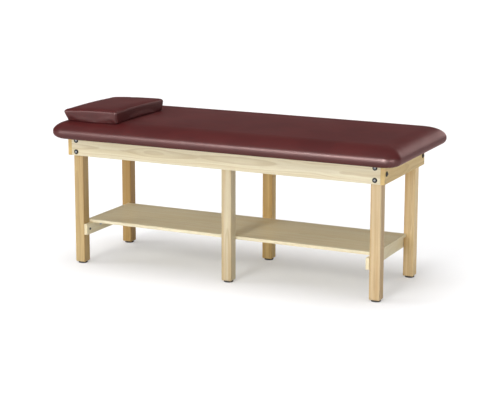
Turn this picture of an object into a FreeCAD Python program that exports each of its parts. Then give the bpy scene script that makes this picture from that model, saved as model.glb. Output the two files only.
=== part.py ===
import FreeCAD, Part
import os

import Sketcher

# Chiropractic table: a padded top on a six-legged wooden frame with a storage shelf.
# X runs along the table, the foot end at +X and the pillow at -X. Y points away from the front.
# Z is up. The origin is on the floor, under the middle of the table. Lengths are in millimetres.

V = FreeCAD.Vector
doc = FreeCAD.newDocument("ChiropracticTable")

# Driving dimensions: name, value, meaning
SIZES = [
    ("overall_length", "1956", "padded top, end to end"),
    ("overall_width", "830", "padded top, side to side"),
    ("overall_height", "805", "floor to the highest point of the padded top"),
    ("upholstery_height", "103", "deck underside to the highest point of the padded top"),
    ("end_overhang", "76.5", "padded top past the end boards, the mean of both ends"),
    ("side_overhang", "117", "padded top past the long aprons"),
    ("frame_setback", "23.5", "middle of the frame, from the middle of the padded top towards the head"),
    ("apron_height", "102", "aprons and end boards"),
    ("apron_thickness", "19", "long aprons"),
    ("end_board_thickness", "22", "end boards, which lap the ends of the aprons"),
    ("board_edge_radius", "1.5", "eased edges of aprons, end boards and stretchers"),
    ("leg_side", "57", "square legs"),
    ("leg_edge_radius", "5", "rounded long edges of the legs"),
    ("leg_foot_chamfer", "3.5", "bevel round the foot of a leg"),
    ("middle_leg_offset", "35", "middle legs, from the centre towards the foot end"),
    ("rail_height", "80", "hidden cross rail between the middle legs"),
    ("rail_thickness", "22", "hidden cross rail"),
    ("dowel_diameter", "10", "dowels in the ends of the cross rail"),
    ("dowel_reach", "25", "dowel length on each side of its joint"),
    ("dowel_spacing", "40", "between the two dowels of one joint"),
    ("dowel_clearance", "0.2", "round a dowel and at its ends"),
    ("glide_height", "9", "leg bottom to floor"),
    ("glide_diameter", "50", "round glide under a leg"),
    ("glide_edge_radius", "2", "lower edge of a glide"),
    ("glide_pin_diameter", "5", "pin that holds a glide in the leg"),
    ("glide_pin_length", "22", "pin length inside the leg"),
    ("bolt_diameter", "8", "bolts of the frame"),
    ("bolt_clearance", "0.3", "between a bolt and its hole, all round"),
    ("bolt_head_diameter", "13", "domed bolt head"),
    ("bolt_head_height", "5", "domed bolt head"),
    ("bolt_dome_radius", "3.5", "rounding of a bolt head"),
    ("bolt_tail", "3", "bolt length beyond its nut"),
    ("bolt_spacing", "61", "between the two bolts of an apron joint"),
    ("end_bolt_edge", "28", "end board bolt, from the face of the apron"),
    ("washer_diameter", "26", "dark washer under a bolt head"),
    ("washer_thickness", "2.5", "dark washer"),
    ("washer_edge_radius", "1", "outer edge of a washer"),
    ("nut_width", "15", "across the corners of a hexagon nut"),
    ("nut_height", "6.5", "hexagon nut"),
    ("nail_diameter", "3", "nails of the end boards"),
    ("nail_head_diameter", "6", "nail head"),
    ("nail_head_height", "1.2", "nail head, sunk flush"),
    ("nail_length", "44", "nail below its head"),
    ("nail_edge", "14", "nails, from the upper and lower edges of an end board"),
    ("shelf_top", "238", "floor to the top of the shelf"),
    ("shelf_thickness", "16", "shelf panel"),
    ("shelf_lap", "15", "shelf, past the inner faces of the corner legs"),
    ("shelf_clearance", "0.3", "between the shelf edge and the legs"),
    ("shelf_edge_radius", "1", "eased edges of the shelf panel"),
    ("stretcher_height", "60", "stretchers under the ends of the shelf"),
    ("stretcher_thickness", "19", "stretchers under the ends of the shelf"),
    ("stretcher_bolt_grip", "38", "stretcher bolt length inside the leg"),
    ("bracket_arm", "30", "each arm of an angle bracket"),
    ("bracket_width", "20", "angle bracket"),
    ("bracket_thickness", "2.5", "angle bracket"),
    ("bracket_hole", "19", "screw hole, from the corner of a bracket"),
    ("screw_diameter", "4", "bracket screws"),
    ("screw_clearance", "0.2", "between a screw and its hole, all round"),
    ("screw_head_diameter", "8", "bracket screw head"),
    ("screw_head_height", "2.8", "bracket screw head"),
    ("screw_length", "14", "bracket screw below its head"),
    ("leg_screw_length", "70", "middle leg screw below its head"),
    ("leg_screw_inset", "9", "middle leg screw, from the side of the leg"),
    ("bracket_bay_inset", "160", "deck bracket, from the leg beside it"),
    ("shelf_bracket_spacing", "280", "between the two brackets of a stretcher"),
    ("top_corner_radius", "75", "corners of the padded top, seen from above"),
    ("top_edge_reach", "120", "rounded upper edge of the padded top, across"),
    ("top_edge_rise", "58", "rounded upper edge of the padded top, in height"),
    ("top_lower_reach", "46", "rounded lower edge of the padded top, across"),
    ("top_lower_rise", "34", "rounded lower edge of the padded top, in height"),
    ("top_crown", "6", "rise of the padded top from its rounded edge to its middle"),
    ("deck_thickness", "19", "board under the padding"),
    ("foam_wrap", "46", "foam round the edge of the deck"),
    ("cover_thickness", "1.5", "vinyl with its backing"),
    ("cover_clearance", "0.3", "between the cover and what it wraps"),
    ("cover_end_wrap", "50", "vinyl turned in under the ends, from the outside"),
    ("cover_side_wrap", "85", "vinyl turned in under the long sides, from the outside"),
    ("pillow_length", "324", "pillow, along X"),
    ("pillow_width", "542", "pillow, along Y"),
    ("pillow_height", "78", "pillow at its thickest, where the padded top falls away under it"),
    ("pillow_sink", "20", "lowest edge of the pillow, below the highest point of the padded top"),
    ("pillow_corner_radius", "26", "upright corners of the pillow"),
    ("pillow_edge_radius", "10", "rounded upper edge of the pillow"),
    ("pillow_lower_radius", "14", "rounded lower edge of the pillow"),
    ("pillow_crown", "5", "rise of the pillow's top"),
    ("pillow_from_end", "65", "pillow, from the head end of the padded top"),
    ("pillow_shift", "93", "pillow, from the centre line towards the front"),
    ("pillow_clearance", "0.3", "pillow above the padded top"),
    ("least_corner_radius", "6", "corners of the sections that a padded form is built from"),
    ("overrun", "5", "length by which a cutting body passes a face"),
]

sheet = doc.addObject("Spreadsheet::Sheet", "Sizes")
for row, (alias, amount, meaning) in enumerate(SIZES, start=1):
    sheet.set(f"A{row}", alias)
    sheet.set(f"B{row}", amount)
    sheet.setAlias(f"B{row}", alias)
    sheet.set(f"C{row}", meaning)
doc.recompute()

# Sizes and places that follow from the driving dimensions
FRAME_TOP = "(Sizes.overall_height - Sizes.upholstery_height)"
FRAME_BOTTOM = f"({FRAME_TOP} - Sizes.apron_height)"
FRAME_LENGTH = "(Sizes.overall_length - 2 * Sizes.end_overhang)"
FRAME_WIDTH = "(Sizes.overall_width - 2 * Sizes.side_overhang)"
FRAME_MIDDLE = "(-1 * Sizes.frame_setback)"
APRON_LENGTH = f"({FRAME_LENGTH} - 2 * Sizes.end_board_thickness)"
LEG_LENGTH = f"({FRAME_TOP} - Sizes.glide_height)"
LEG_CENTRE_X = f"({APRON_LENGTH} / 2 - Sizes.leg_side / 2)"
LEG_CENTRE_Y = f"({FRAME_WIDTH} / 2 - Sizes.apron_thickness - Sizes.leg_side / 2)"
LEG_INNER_X = f"({APRON_LENGTH} / 2 - Sizes.leg_side)"
LEG_INNER_Y = f"({FRAME_WIDTH} / 2 - Sizes.apron_thickness - Sizes.leg_side)"
APRON_INNER_Y = f"({FRAME_WIDTH} / 2 - Sizes.apron_thickness)"
SHELF_UNDER = "(Sizes.shelf_top - Sizes.shelf_thickness)"
BOLT_LOW = "(Sizes.apron_height / 2 - Sizes.bolt_spacing / 2)"
BOLT_HIGH = "(Sizes.apron_height / 2 + Sizes.bolt_spacing / 2)"
BOLT_HOLE = "(Sizes.bolt_diameter + 2 * Sizes.bolt_clearance)"
SCREW_HOLE = "(Sizes.screw_diameter + 2 * Sizes.screw_clearance)"
DOWEL_HOLE = "(Sizes.dowel_diameter + 2 * Sizes.dowel_clearance)"
STRETCHER_MIDDLE = f"({SHELF_UNDER} - Sizes.stretcher_height / 2)"
DOWEL_LOW = "(Sizes.rail_height / 2 - Sizes.dowel_spacing / 2)"
DOWEL_HIGH = "(Sizes.rail_height / 2 + Sizes.dowel_spacing / 2)"
RAIL_BOTTOM = f"({FRAME_TOP} - Sizes.rail_height)"
NAIL_DEPTH = "(Sizes.apron_thickness / 2)"
NAIL_HIGH = "(Sizes.apron_height - Sizes.nail_edge)"
END_BOLT_Y = f"({FRAME_WIDTH} / 2 - Sizes.end_bolt_edge)"

# Directions that a fastener's head can face
FACING = {
    "front": FreeCAD.Rotation(V(1, 0, 0), 90),
    "back": FreeCAD.Rotation(V(1, 0, 0), -90),
    "foot": FreeCAD.Rotation(V(0, 1, 0), 90),
    "head": FreeCAD.Rotation(V(0, 1, 0), -90),
    "down": FreeCAD.Rotation(V(1, 0, 0), 180),
}

# Ways that an angle bracket can stand: its upright arm lies on the face on that side
STANDING = {
    "front": FreeCAD.Rotation(V(0, 0, 1), 0),
    "back": FreeCAD.Rotation(V(0, 0, 1), 180),
    "head": FreeCAD.Rotation(V(0, 0, 1), -90),
    "foot": FreeCAD.Rotation(V(0, 0, 1), 90),
}

FILLET = "PartDesign::Fillet"
CHAMFER = "PartDesign::Chamfer"
subparts = []


def number(expression):
    """The value of an expression on the sheet, as a plain number."""
    result = sheet.evalExpression(expression)
    return float(getattr(result, "Value", result))


def place(item, across, away, up, rotation=None, middle=FRAME_MIDDLE):
    """Binds an object's place to expressions, with a fixed turn. X is measured from a middle."""
    if rotation is not None:
        item.Placement = FreeCAD.Placement(V(0, 0, 0), rotation)
    item.setExpression("Placement.Base.x", f"{across} + {middle}")
    item.setExpression("Placement.Base.y", away)
    item.setExpression("Placement.Base.z", up)


def new_body(label):
    """An empty body with its label."""
    body = doc.addObject("PartDesign::Body", label)
    body.Label = label
    return body


def keep(item):
    """Adds a finished sub-part to the list that is written."""
    subparts.append(item)
    return item


def new_sketch(body, role, name, offset=None):
    """A sketch on one of the body's origin planes, moved along the plane's normal."""
    plane = next(item for item in body.Origin.OriginFeatures if item.Role == role)
    sketch = body.newObject("Sketcher::SketchObject", name)
    sketch.AttachmentSupport = (plane, [""])
    sketch.MapMode = "FlatFace"
    if offset is not None:
        sketch.setExpression("AttachmentOffset.Base.z", offset)
    return sketch


def limit(sketch, name, kind, references, expression):
    """A named dimension of a sketch, bound to the sheet."""
    index = sketch.addConstraint(Sketcher.Constraint(kind, *references, number(expression)))
    sketch.renameConstraint(index, name)
    sketch.setExpression(f"Constraints.{name}", expression)


def draw_rectangle(sketch, wide, high):
    """A rectangle with its low corner on the sketch's origin."""
    across = number(wide)
    up = number(high)
    corners = [V(0, 0, 0), V(across, 0, 0), V(across, up, 0), V(0, up, 0)]
    for i, corner in enumerate(corners):
        sketch.addGeometry(Part.LineSegment(corner, corners[(i + 1) % 4]), False)
    for i in range(4):
        sketch.addConstraint(Sketcher.Constraint("Coincident", i, 2, (i + 1) % 4, 1))
    sketch.addConstraint(Sketcher.Constraint("Coincident", 0, 1, -1, 1))
    for i in (0, 2):
        sketch.addConstraint(Sketcher.Constraint("Horizontal", i))
    for i in (1, 3):
        sketch.addConstraint(Sketcher.Constraint("Vertical", i))
    limit(sketch, "wide", "DistanceX", (0, 1, 0, 2), wide)
    limit(sketch, "high", "DistanceY", (1, 1, 1, 2), high)


def locate(sketch, name, kind, shape, expression):
    """Measures a centre from the sketch's origin, on whichever side of it the centre lies."""
    amount = number(expression)
    if amount > 0:
        limit(sketch, name, kind, (-1, 1, shape, 3), expression)
    elif amount < 0:
        limit(sketch, name, kind, (shape, 3, -1, 1), f"-1 * {expression}")
    else:
        axis = -2 if kind == "DistanceX" else -1
        sketch.addConstraint(Sketcher.Constraint("PointOnObject", shape, 3, axis))


def draw_circles(sketch, centres, diameter):
    """Round holes with their centres measured from the sketch's origin."""
    for i, (across, up) in enumerate(centres):
        centre = V(number(across), number(up), 0)
        shape = sketch.addGeometry(Part.Circle(centre, V(0, 0, 1), number(diameter) / 2), False)
        locate(sketch, f"across_{i}", "DistanceX", shape, across)
        locate(sketch, f"up_{i}", "DistanceY", shape, up)
        limit(sketch, f"hole_{i}", "Diameter", (shape,), diameter)


def draw_rounded_rectangle(sketch, length, width, radius):
    """Four sides and four quarter-circle corners, centred on the origin."""
    half_x = number(length) / 2
    half_y = number(width) / 2
    corner = number(radius)
    flat_x = half_x - corner
    flat_y = half_y - corner
    sides = [
        (V(-flat_x, -half_y, 0), V(flat_x, -half_y, 0)),
        (V(half_x, -flat_y, 0), V(half_x, flat_y, 0)),
        (V(flat_x, half_y, 0), V(-flat_x, half_y, 0)),
        (V(-half_x, flat_y, 0), V(-half_x, -flat_y, 0)),
    ]
    centres = [V(flat_x, -flat_y, 0), V(flat_x, flat_y, 0), V(-flat_x, flat_y, 0), V(-flat_x, -flat_y, 0)]
    for start, end in sides:
        sketch.addGeometry(Part.LineSegment(start, end), False)
    for i, centre in enumerate(centres):
        middle = (sides[i][1] + sides[(i + 1) % 4][0]) / 2 - centre
        arc = Part.Arc(sides[i][1], centre + middle.normalize() * corner, sides[(i + 1) % 4][0])
        sketch.addGeometry(arc, False)
    for i in range(4):
        sketch.addConstraint(Sketcher.Constraint("Tangent", i, 2, 4 + i, 1))
        sketch.addConstraint(Sketcher.Constraint("Tangent", 4 + i, 2, (i + 1) % 4, 1))
    for i in (0, 2):
        sketch.addConstraint(Sketcher.Constraint("Horizontal", i))
    for i in (1, 3):
        sketch.addConstraint(Sketcher.Constraint("Vertical", i))
    for i in range(1, 4):
        sketch.addConstraint(Sketcher.Constraint("Equal", 4, 4 + i))
    sketch.addConstraint(Sketcher.Constraint("Symmetric", 4, 3, 6, 3, -1, 1))
    limit(sketch, "radius", "Radius", (4,), radius)
    limit(sketch, "length", "DistanceX", (3, 1, 1, 1), length)
    limit(sketch, "width", "DistanceY", (0, 1, 2, 1), width)


def add_pad(body, sketch, name, length):
    """Extrudes a sketch."""
    pad = body.newObject("PartDesign::Pad", name)
    pad.Profile = sketch
    pad.setExpression("Length", length)
    doc.recompute()
    return pad


def add_edge_feature(body, base, kind, name, edges, amount):
    """Rounds or bevels the chosen edges of the last feature."""
    feature = body.newObject(kind, name)
    feature.Base = (base, edges)
    feature.setExpression("Radius" if kind == FILLET else "Size", amount)
    doc.recompute()
    return feature


def edges_at(feature, level):
    """Names of the edges that lie wholly at one height."""
    tolerance = 1e-4
    names = []
    for i, edge in enumerate(feature.Shape.Edges, start=1):
        box = edge.BoundBox
        if abs(box.ZMin - level) < tolerance and abs(box.ZMax - level) < tolerance:
            names.append(f"Edge{i}")
    return names


def upright_edges(feature):
    """Names of the edges that set off along Z."""
    names = []
    for i, edge in enumerate(feature.Shape.Edges, start=1):
        direction = edge.tangentAt(edge.FirstParameter)
        if abs(direction.z) > max(abs(direction.x), abs(direction.y)):
            names.append(f"Edge{i}")
    return names


def drill_through(body, role, name, centres, diameter):
    """Holes right through the body, square to one of its origin planes."""
    before = body.Shape.Volume
    sketch = new_sketch(body, role, f"{name}_centres")
    draw_circles(sketch, centres, diameter)
    pocket = body.newObject("PartDesign::Pocket", name)
    pocket.Profile = sketch
    pocket.Type = "ThroughAll"
    pocket.SideType = "Symmetric"
    doc.recompute()
    check_cut(body, before, name)


def drill_blind(body, role, name, centres, diameter, offset, depth, reverse):
    """Holes of one depth, from a face at an offset along the plane's normal."""
    before = body.Shape.Volume
    sketch = new_sketch(body, role, f"{name}_centres", offset)
    draw_circles(sketch, centres, diameter)
    pocket = body.newObject("PartDesign::Pocket", name)
    pocket.Profile = sketch
    pocket.setExpression("Length", depth)
    pocket.Reversed = reverse
    doc.recompute()
    check_cut(body, before, name)


def check_cut(body, before, name):
    """Stops if a cut has removed nothing."""
    if not body.Shape.Volume < before:
        raise RuntimeError(f"{body.Label}: {name} cuts nothing")


def board(label, along_x, along_y, along_z):
    """A rectangular board with its low corner at the origin and all edges eased."""
    body = new_body(label)
    sketch = new_sketch(body, "XY_Plane", f"{label}_outline")
    draw_rectangle(sketch, along_x, along_y)
    pad = add_pad(body, sketch, f"{label}_blank", along_z)
    names = [f"Edge{i}" for i in range(1, len(pad.Shape.Edges) + 1)]
    add_edge_feature(body, pad, FILLET, f"{label}_eased", names, "Sizes.board_edge_radius")
    return body


def group(label, master, places):
    """Identical pieces in one node: copies of a master at their places."""
    links = []
    for i, (rotation, across, away, up) in enumerate(places):
        link = doc.addObject("App::Link", f"{label}_{i}")
        link.LinkedObject = master
        place(link, across, away, up, rotation)
        links.append(link)
    compound = doc.addObject("Part::Compound", label)
    compound.Label = label
    compound.Links = links
    return keep(compound)


# Long aprons, front and back
DECK_BRACKET_X = [
    f"(-1 * ({LEG_INNER_X} - Sizes.bracket_bay_inset))",
    "(Sizes.middle_leg_offset - Sizes.leg_side / 2 - Sizes.bracket_bay_inset)",
    "(Sizes.middle_leg_offset + Sizes.leg_side / 2 + Sizes.bracket_bay_inset)",
    f"({LEG_INNER_X} - Sizes.bracket_bay_inset)",
]
SCREW_DEPTH = "(Sizes.screw_length - Sizes.bracket_thickness + Sizes.screw_clearance)"
LEG_SCREW_DEPTH = "(Sizes.leg_screw_length - Sizes.leg_side + Sizes.screw_clearance)"
LEG_SCREW_X = [
    "(Sizes.middle_leg_offset - Sizes.leg_side / 2 + Sizes.leg_screw_inset)",
    "(Sizes.middle_leg_offset + Sizes.leg_side / 2 - Sizes.leg_screw_inset)",
]
NAIL_HOLE = "(Sizes.nail_diameter + 2 * Sizes.screw_clearance)"
NAIL_HEAD_HOLE = "(Sizes.nail_head_diameter + 2 * Sizes.screw_clearance)"
NAIL_TIP = "(Sizes.nail_length + Sizes.nail_head_height)"
NAIL_REACH = f"({NAIL_TIP} - Sizes.end_board_thickness + Sizes.screw_clearance)"
APRON_MIDDLE = "(Sizes.apron_height / 2)"
BRACKET_LEVEL = "(Sizes.apron_height - Sizes.bracket_hole)"


def build_apron(side):
    """A long apron with its bolt, nail and screw holes."""
    front = side == "front"
    body = board(f"{side}_apron", APRON_LENGTH, "Sizes.apron_thickness", "Sizes.apron_height")
    low_y = f"-{FRAME_WIDTH} / 2" if front else APRON_INNER_Y
    place(body, f"-{APRON_LENGTH} / 2", low_y, FRAME_BOTTOM)
    ends = ["(Sizes.leg_side / 2)", f"({APRON_LENGTH} - Sizes.leg_side / 2)"]
    centres = [(x, z) for x in ends for z in (BOLT_LOW, BOLT_HIGH)]
    drill_through(body, "XZ_Plane", "bolt_holes", centres, BOLT_HOLE)
    inner = "-Sizes.apron_thickness" if front else "0"
    screws = [(f"({x} + {APRON_LENGTH} / 2)", BRACKET_LEVEL) for x in DECK_BRACKET_X]
    drill_blind(body, "XZ_Plane", "bracket_holes", screws, SCREW_HOLE, inner, SCREW_DEPTH, front)
    screws = [(f"({x} + {APRON_LENGTH} / 2)", APRON_MIDDLE) for x in LEG_SCREW_X]
    drill_blind(body, "XZ_Plane", "leg_screw_holes", screws, SCREW_HOLE, inner, LEG_SCREW_DEPTH, front)
    nails = [(NAIL_DEPTH, z) for z in ("Sizes.nail_edge", NAIL_HIGH)]
    drill_blind(body, "YZ_Plane", "head_nail_holes", nails, NAIL_HOLE, "0", NAIL_REACH, True)
    drill_blind(body, "YZ_Plane", "foot_nail_holes", nails, NAIL_HOLE, APRON_LENGTH, NAIL_REACH, False)
    keep(body)


for side in ("front", "back"):
    build_apron(side)


# End boards, which close the frame at the head and the foot
def build_end_board(end):
    """An end board with its bolt, nail and screw holes."""
    head = end == "head"
    body = board(f"{end}_end_board", "Sizes.end_board_thickness", FRAME_WIDTH, "Sizes.apron_height")
    low_x = f"-{FRAME_LENGTH} / 2" if head else f"{APRON_LENGTH} / 2"
    place(body, low_x, f"-{FRAME_WIDTH} / 2", FRAME_BOTTOM)
    sides = ["Sizes.end_bolt_edge", f"({FRAME_WIDTH} - Sizes.end_bolt_edge)"]
    drill_through(body, "YZ_Plane", "bolt_holes", [(y, APRON_MIDDLE) for y in sides], BOLT_HOLE)
    sides = [NAIL_DEPTH, f"({FRAME_WIDTH} - {NAIL_DEPTH})"]
    nails = [(y, z) for y in sides for z in ("Sizes.nail_edge", NAIL_HIGH)]
    drill_through(body, "YZ_Plane", "nail_holes", nails, NAIL_HOLE)
    outer = "0" if head else "Sizes.end_board_thickness"
    sink = "(Sizes.nail_head_height + Sizes.screw_clearance)"
    drill_blind(body, "YZ_Plane", "nail_head_holes", nails, NAIL_HEAD_HOLE, outer, sink, head)
    inner = "Sizes.end_board_thickness" if head else "0"
    screws = [(f"({FRAME_WIDTH} / 2)", BRACKET_LEVEL)]
    drill_blind(body, "YZ_Plane", "bracket_holes", screws, SCREW_HOLE, inner, SCREW_DEPTH, not head)
    keep(body)


for end in ("head", "foot"):
    build_end_board(end)


# Six square legs
def leg_blank(label, low_x, low_y):
    """A leg with rounded long edges, a bevelled foot and a hole for its glide's pin."""
    body = new_body(label)
    sketch = new_sketch(body, "XY_Plane", f"{label}_section")
    draw_rectangle(sketch, "Sizes.leg_side", "Sizes.leg_side")
    pad = add_pad(body, sketch, f"{label}_length", LEG_LENGTH)
    names = upright_edges(pad)
    eased = add_edge_feature(body, pad, FILLET, f"{label}_eased", names, "Sizes.leg_edge_radius")
    names = edges_at(eased, 0)
    add_edge_feature(body, eased, CHAMFER, f"{label}_foot", names, "Sizes.leg_foot_chamfer")
    middle = "(Sizes.leg_side / 2)"
    hole = "(Sizes.glide_pin_diameter + 2 * Sizes.screw_clearance)"
    depth = "(Sizes.glide_pin_length + Sizes.screw_clearance)"
    drill_blind(body, "XY_Plane", "glide_hole", [(middle, middle)], hole, "0", depth, True)
    place(body, low_x, low_y, "Sizes.glide_height")
    return body


def build_corner_leg(side, end):
    """A corner leg with two bolt holes across, one along, and one for its stretcher's bolt."""
    front = side == "front"
    head = end == "head"
    low_x = f"-{APRON_LENGTH} / 2" if head else LEG_INNER_X
    low_y = f"-{APRON_INNER_Y}" if front else LEG_INNER_Y
    body = leg_blank(f"{side}_{end}_leg", low_x, low_y)
    base = f"({FRAME_BOTTOM} - Sizes.glide_height)"
    middle = "(Sizes.leg_side / 2)"
    across = [(middle, f"({base} + {z})") for z in (BOLT_LOW, BOLT_HIGH)]
    drill_through(body, "XZ_Plane", "apron_bolt_holes", across, BOLT_HOLE)
    near = "(Sizes.end_bolt_edge - Sizes.apron_thickness)"
    along = near if front else f"(Sizes.leg_side - {near})"
    drill_through(body, "YZ_Plane", "end_bolt_hole", [(along, f"({base} + {APRON_MIDDLE})")], BOLT_HOLE)
    inner = "Sizes.leg_side" if head else "0"
    level = f"({STRETCHER_MIDDLE} - Sizes.glide_height)"
    depth = "(Sizes.stretcher_bolt_grip + Sizes.bolt_clearance)"
    spot = [(middle, level)]
    drill_blind(body, "YZ_Plane", "stretcher_bolt_hole", spot, BOLT_HOLE, inner, depth, not head)
    keep(body)


def build_middle_leg(side):
    """A middle leg with holes for its screws, the cross rail's dowels and the shelf's bracket."""
    front = side == "front"
    low_y = f"-{APRON_INNER_Y}" if front else LEG_INNER_Y
    body = leg_blank(f"{side}_middle_leg", "(Sizes.middle_leg_offset - Sizes.leg_side / 2)", low_y)
    level = f"({FRAME_BOTTOM} + {APRON_MIDDLE} - Sizes.glide_height)"
    across = ["Sizes.leg_screw_inset", "(Sizes.leg_side - Sizes.leg_screw_inset)"]
    drill_through(body, "XZ_Plane", "screw_holes", [(x, level) for x in across], SCREW_HOLE)
    inner = "-Sizes.leg_side" if front else "0"
    middle = "(Sizes.leg_side / 2)"
    dowels = [(middle, f"({RAIL_BOTTOM} + {z} - Sizes.glide_height)") for z in (DOWEL_LOW, DOWEL_HIGH)]
    depth = "(Sizes.dowel_reach + Sizes.dowel_clearance)"
    drill_blind(body, "XZ_Plane", "dowel_holes", dowels, DOWEL_HOLE, inner, depth, front)
    level = f"({SHELF_UNDER} - Sizes.bracket_hole - Sizes.glide_height)"
    drill_blind(body, "XZ_Plane", "bracket_hole", [(middle, level)], SCREW_HOLE, inner, SCREW_DEPTH, front)
    keep(body)


for side in ("front", "back"):
    for end in ("head", "foot"):
        build_corner_leg(side, end)
    build_middle_leg(side)


# Hidden cross rail between the middle legs, held by dowels
def build_cross_rail():
    """The rail under the deck, with dowel holes in both ends."""
    length = f"(2 * {LEG_INNER_Y})"
    body = board("middle_cross_rail", "Sizes.rail_thickness", length, "Sizes.rail_height")
    place(body, "(Sizes.middle_leg_offset - Sizes.rail_thickness / 2)", f"-{LEG_INNER_Y}", RAIL_BOTTOM)
    dowels = [("(Sizes.rail_thickness / 2)", z) for z in (DOWEL_LOW, DOWEL_HIGH)]
    depth = "(Sizes.dowel_reach + Sizes.dowel_clearance)"
    drill_blind(body, "XZ_Plane", "front_dowel_holes", dowels, DOWEL_HOLE, "0", depth, False)
    drill_blind(body, "XZ_Plane", "back_dowel_holes", dowels, DOWEL_HOLE, f"-{length}", depth, True)
    keep(body)


build_cross_rail()


# Shelf panel and the stretchers that carry it
SHELF_LENGTH = f"(2 * ({LEG_INNER_X} + Sizes.shelf_lap))"
SHELF_WIDTH = f"(2 * ({LEG_INNER_Y} - Sizes.shelf_clearance))"
STRETCHER_INNER_X = f"({LEG_INNER_X} - Sizes.stretcher_thickness)"
SHELF_BRACKETS = [
    ("head", f"(-1 * {STRETCHER_INNER_X})", "(-1 * Sizes.shelf_bracket_spacing / 2)"),
    ("head", f"(-1 * {STRETCHER_INNER_X})", "(Sizes.shelf_bracket_spacing / 2)"),
    ("foot", STRETCHER_INNER_X, "(-1 * Sizes.shelf_bracket_spacing / 2)"),
    ("foot", STRETCHER_INNER_X, "(Sizes.shelf_bracket_spacing / 2)"),
    ("front", "Sizes.middle_leg_offset", f"(-1 * {LEG_INNER_Y})"),
    ("back", "Sizes.middle_leg_offset", LEG_INNER_Y),
]
DECK_BRACKETS = [("front", x, f"(-1 * {APRON_INNER_Y})") for x in DECK_BRACKET_X]
DECK_BRACKETS += [("back", x, APRON_INNER_Y) for x in DECK_BRACKET_X]
DECK_BRACKETS += [("head", f"(-1 * {APRON_LENGTH} / 2)", "0"), ("foot", f"({APRON_LENGTH} / 2)", "0")]

# Step from a bracket's corner along its level arm, and the side that its upright screw's head faces
INWARD = {
    "front": ("0", "Sizes.bracket_hole"),
    "back": ("0", "-Sizes.bracket_hole"),
    "head": ("Sizes.bracket_hole", "0"),
    "foot": ("-Sizes.bracket_hole", "0"),
}
OPPOSITE = {"front": "back", "back": "front", "head": "foot", "foot": "head"}


def level_holes(brackets):
    """Places of the upward screws of a set of brackets."""
    return [(f"({x} + {INWARD[side][0]})", f"({y} + {INWARD[side][1]})") for side, x, y in brackets]


def build_shelf():
    """The shelf panel between the front and back legs, with screw holes in its underside."""
    body = new_body("shelf_panel")
    sketch = new_sketch(body, "XY_Plane", "shelf_outline")
    draw_rounded_rectangle(sketch, SHELF_LENGTH, SHELF_WIDTH, "(2 * Sizes.shelf_edge_radius)")
    pad = add_pad(body, sketch, "shelf_blank", "Sizes.shelf_thickness")
    names = edges_at(pad, 0) + edges_at(pad, number("Sizes.shelf_thickness"))
    add_edge_feature(body, pad, FILLET, "shelf_eased", names, "Sizes.shelf_edge_radius")
    screws = level_holes(SHELF_BRACKETS)
    drill_blind(body, "XY_Plane", "bracket_holes", screws, SCREW_HOLE, "0", SCREW_DEPTH, True)
    place(body, "0", "0", SHELF_UNDER)
    keep(body)


def build_stretcher(end):
    """A stretcher across two corner legs, on their inner faces."""
    head = end == "head"
    length = f"(2 * {APRON_INNER_Y})"
    body = board(f"{end}_stretcher", "Sizes.stretcher_thickness", length, "Sizes.stretcher_height")
    low_x = f"-{LEG_INNER_X}" if head else STRETCHER_INNER_X
    place(body, low_x, f"-{APRON_INNER_Y}", f"({SHELF_UNDER} - Sizes.stretcher_height)")
    sides = ["(Sizes.leg_side / 2)", f"({length} - Sizes.leg_side / 2)"]
    bolts = [(y, "(Sizes.stretcher_height / 2)") for y in sides]
    drill_through(body, "YZ_Plane", "bolt_holes", bolts, BOLT_HOLE)
    inner = "Sizes.stretcher_thickness" if head else "0"
    level = "(Sizes.stretcher_height - Sizes.bracket_hole)"
    spread = ["-1 * Sizes.shelf_bracket_spacing / 2", "Sizes.shelf_bracket_spacing / 2"]
    screws = [(f"({length} / 2 + {y})", level) for y in spread]
    drill_blind(body, "YZ_Plane", "bracket_holes", screws, SCREW_HOLE, inner, SCREW_DEPTH, not head)
    keep(body)


build_shelf()
for end in ("head", "foot"):
    build_stretcher(end)


# Fasteners: one master of each kind, and a group of copies for each node
def turned(label, parts):
    """A body of round pieces in a row along Z: name, diameter, low end and length of each."""
    body = new_body(label)
    for name, diameter, low, length in parts:
        cylinder = body.newObject("PartDesign::AdditiveCylinder", f"{label}_{name}")
        cylinder.setExpression("Radius", f"{diameter} / 2")
        cylinder.setExpression("Height", length)
        cylinder.setExpression("Placement.Base.z", low)
    doc.recompute()
    return body


def round_end(body, level, radius):
    """Rounds the edges of the body's last feature at one height."""
    base = body.Tip
    names = edges_at(base, number(level))
    add_edge_feature(body, base, FILLET, f"{body.Label}_rounded", names, radius)


def bolt_master(label, length):
    """A domed bolt, its head above z 0 and its shank below."""
    body = turned(label, [
        ("shank", "Sizes.bolt_diameter", f"-{length}", length),
        ("head", "Sizes.bolt_head_diameter", "0", "Sizes.bolt_head_height"),
    ])
    round_end(body, "Sizes.bolt_head_height", "Sizes.bolt_dome_radius")
    return body


def screw_master(label, length):
    """A pan-head screw, its head above z 0 and its shank below."""
    body = turned(label, [
        ("shank", "Sizes.screw_diameter", f"-{length}", length),
        ("head", "Sizes.screw_head_diameter", "0", "Sizes.screw_head_height"),
    ])
    round_end(body, "Sizes.screw_head_height", "(Sizes.screw_head_height / 2)")
    return body


def add_bore(body, diameter, low, length):
    """A round hole along Z."""
    bore = body.newObject("PartDesign::SubtractiveCylinder", f"{body.Label}_bore")
    bore.setExpression("Radius", f"{diameter} / 2")
    bore.setExpression("Height", length)
    bore.setExpression("Placement.Base.z", low)
    doc.recompute()


def washer_master():
    """A flat washer standing on z 0."""
    body = turned("washer_master", [("disc", "Sizes.washer_diameter", "0", "Sizes.washer_thickness")])
    round_end(body, "Sizes.washer_thickness", "Sizes.washer_edge_radius")
    add_bore(body, BOLT_HOLE, "-Sizes.overrun", "Sizes.washer_thickness + 2 * Sizes.overrun")
    return body


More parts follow.
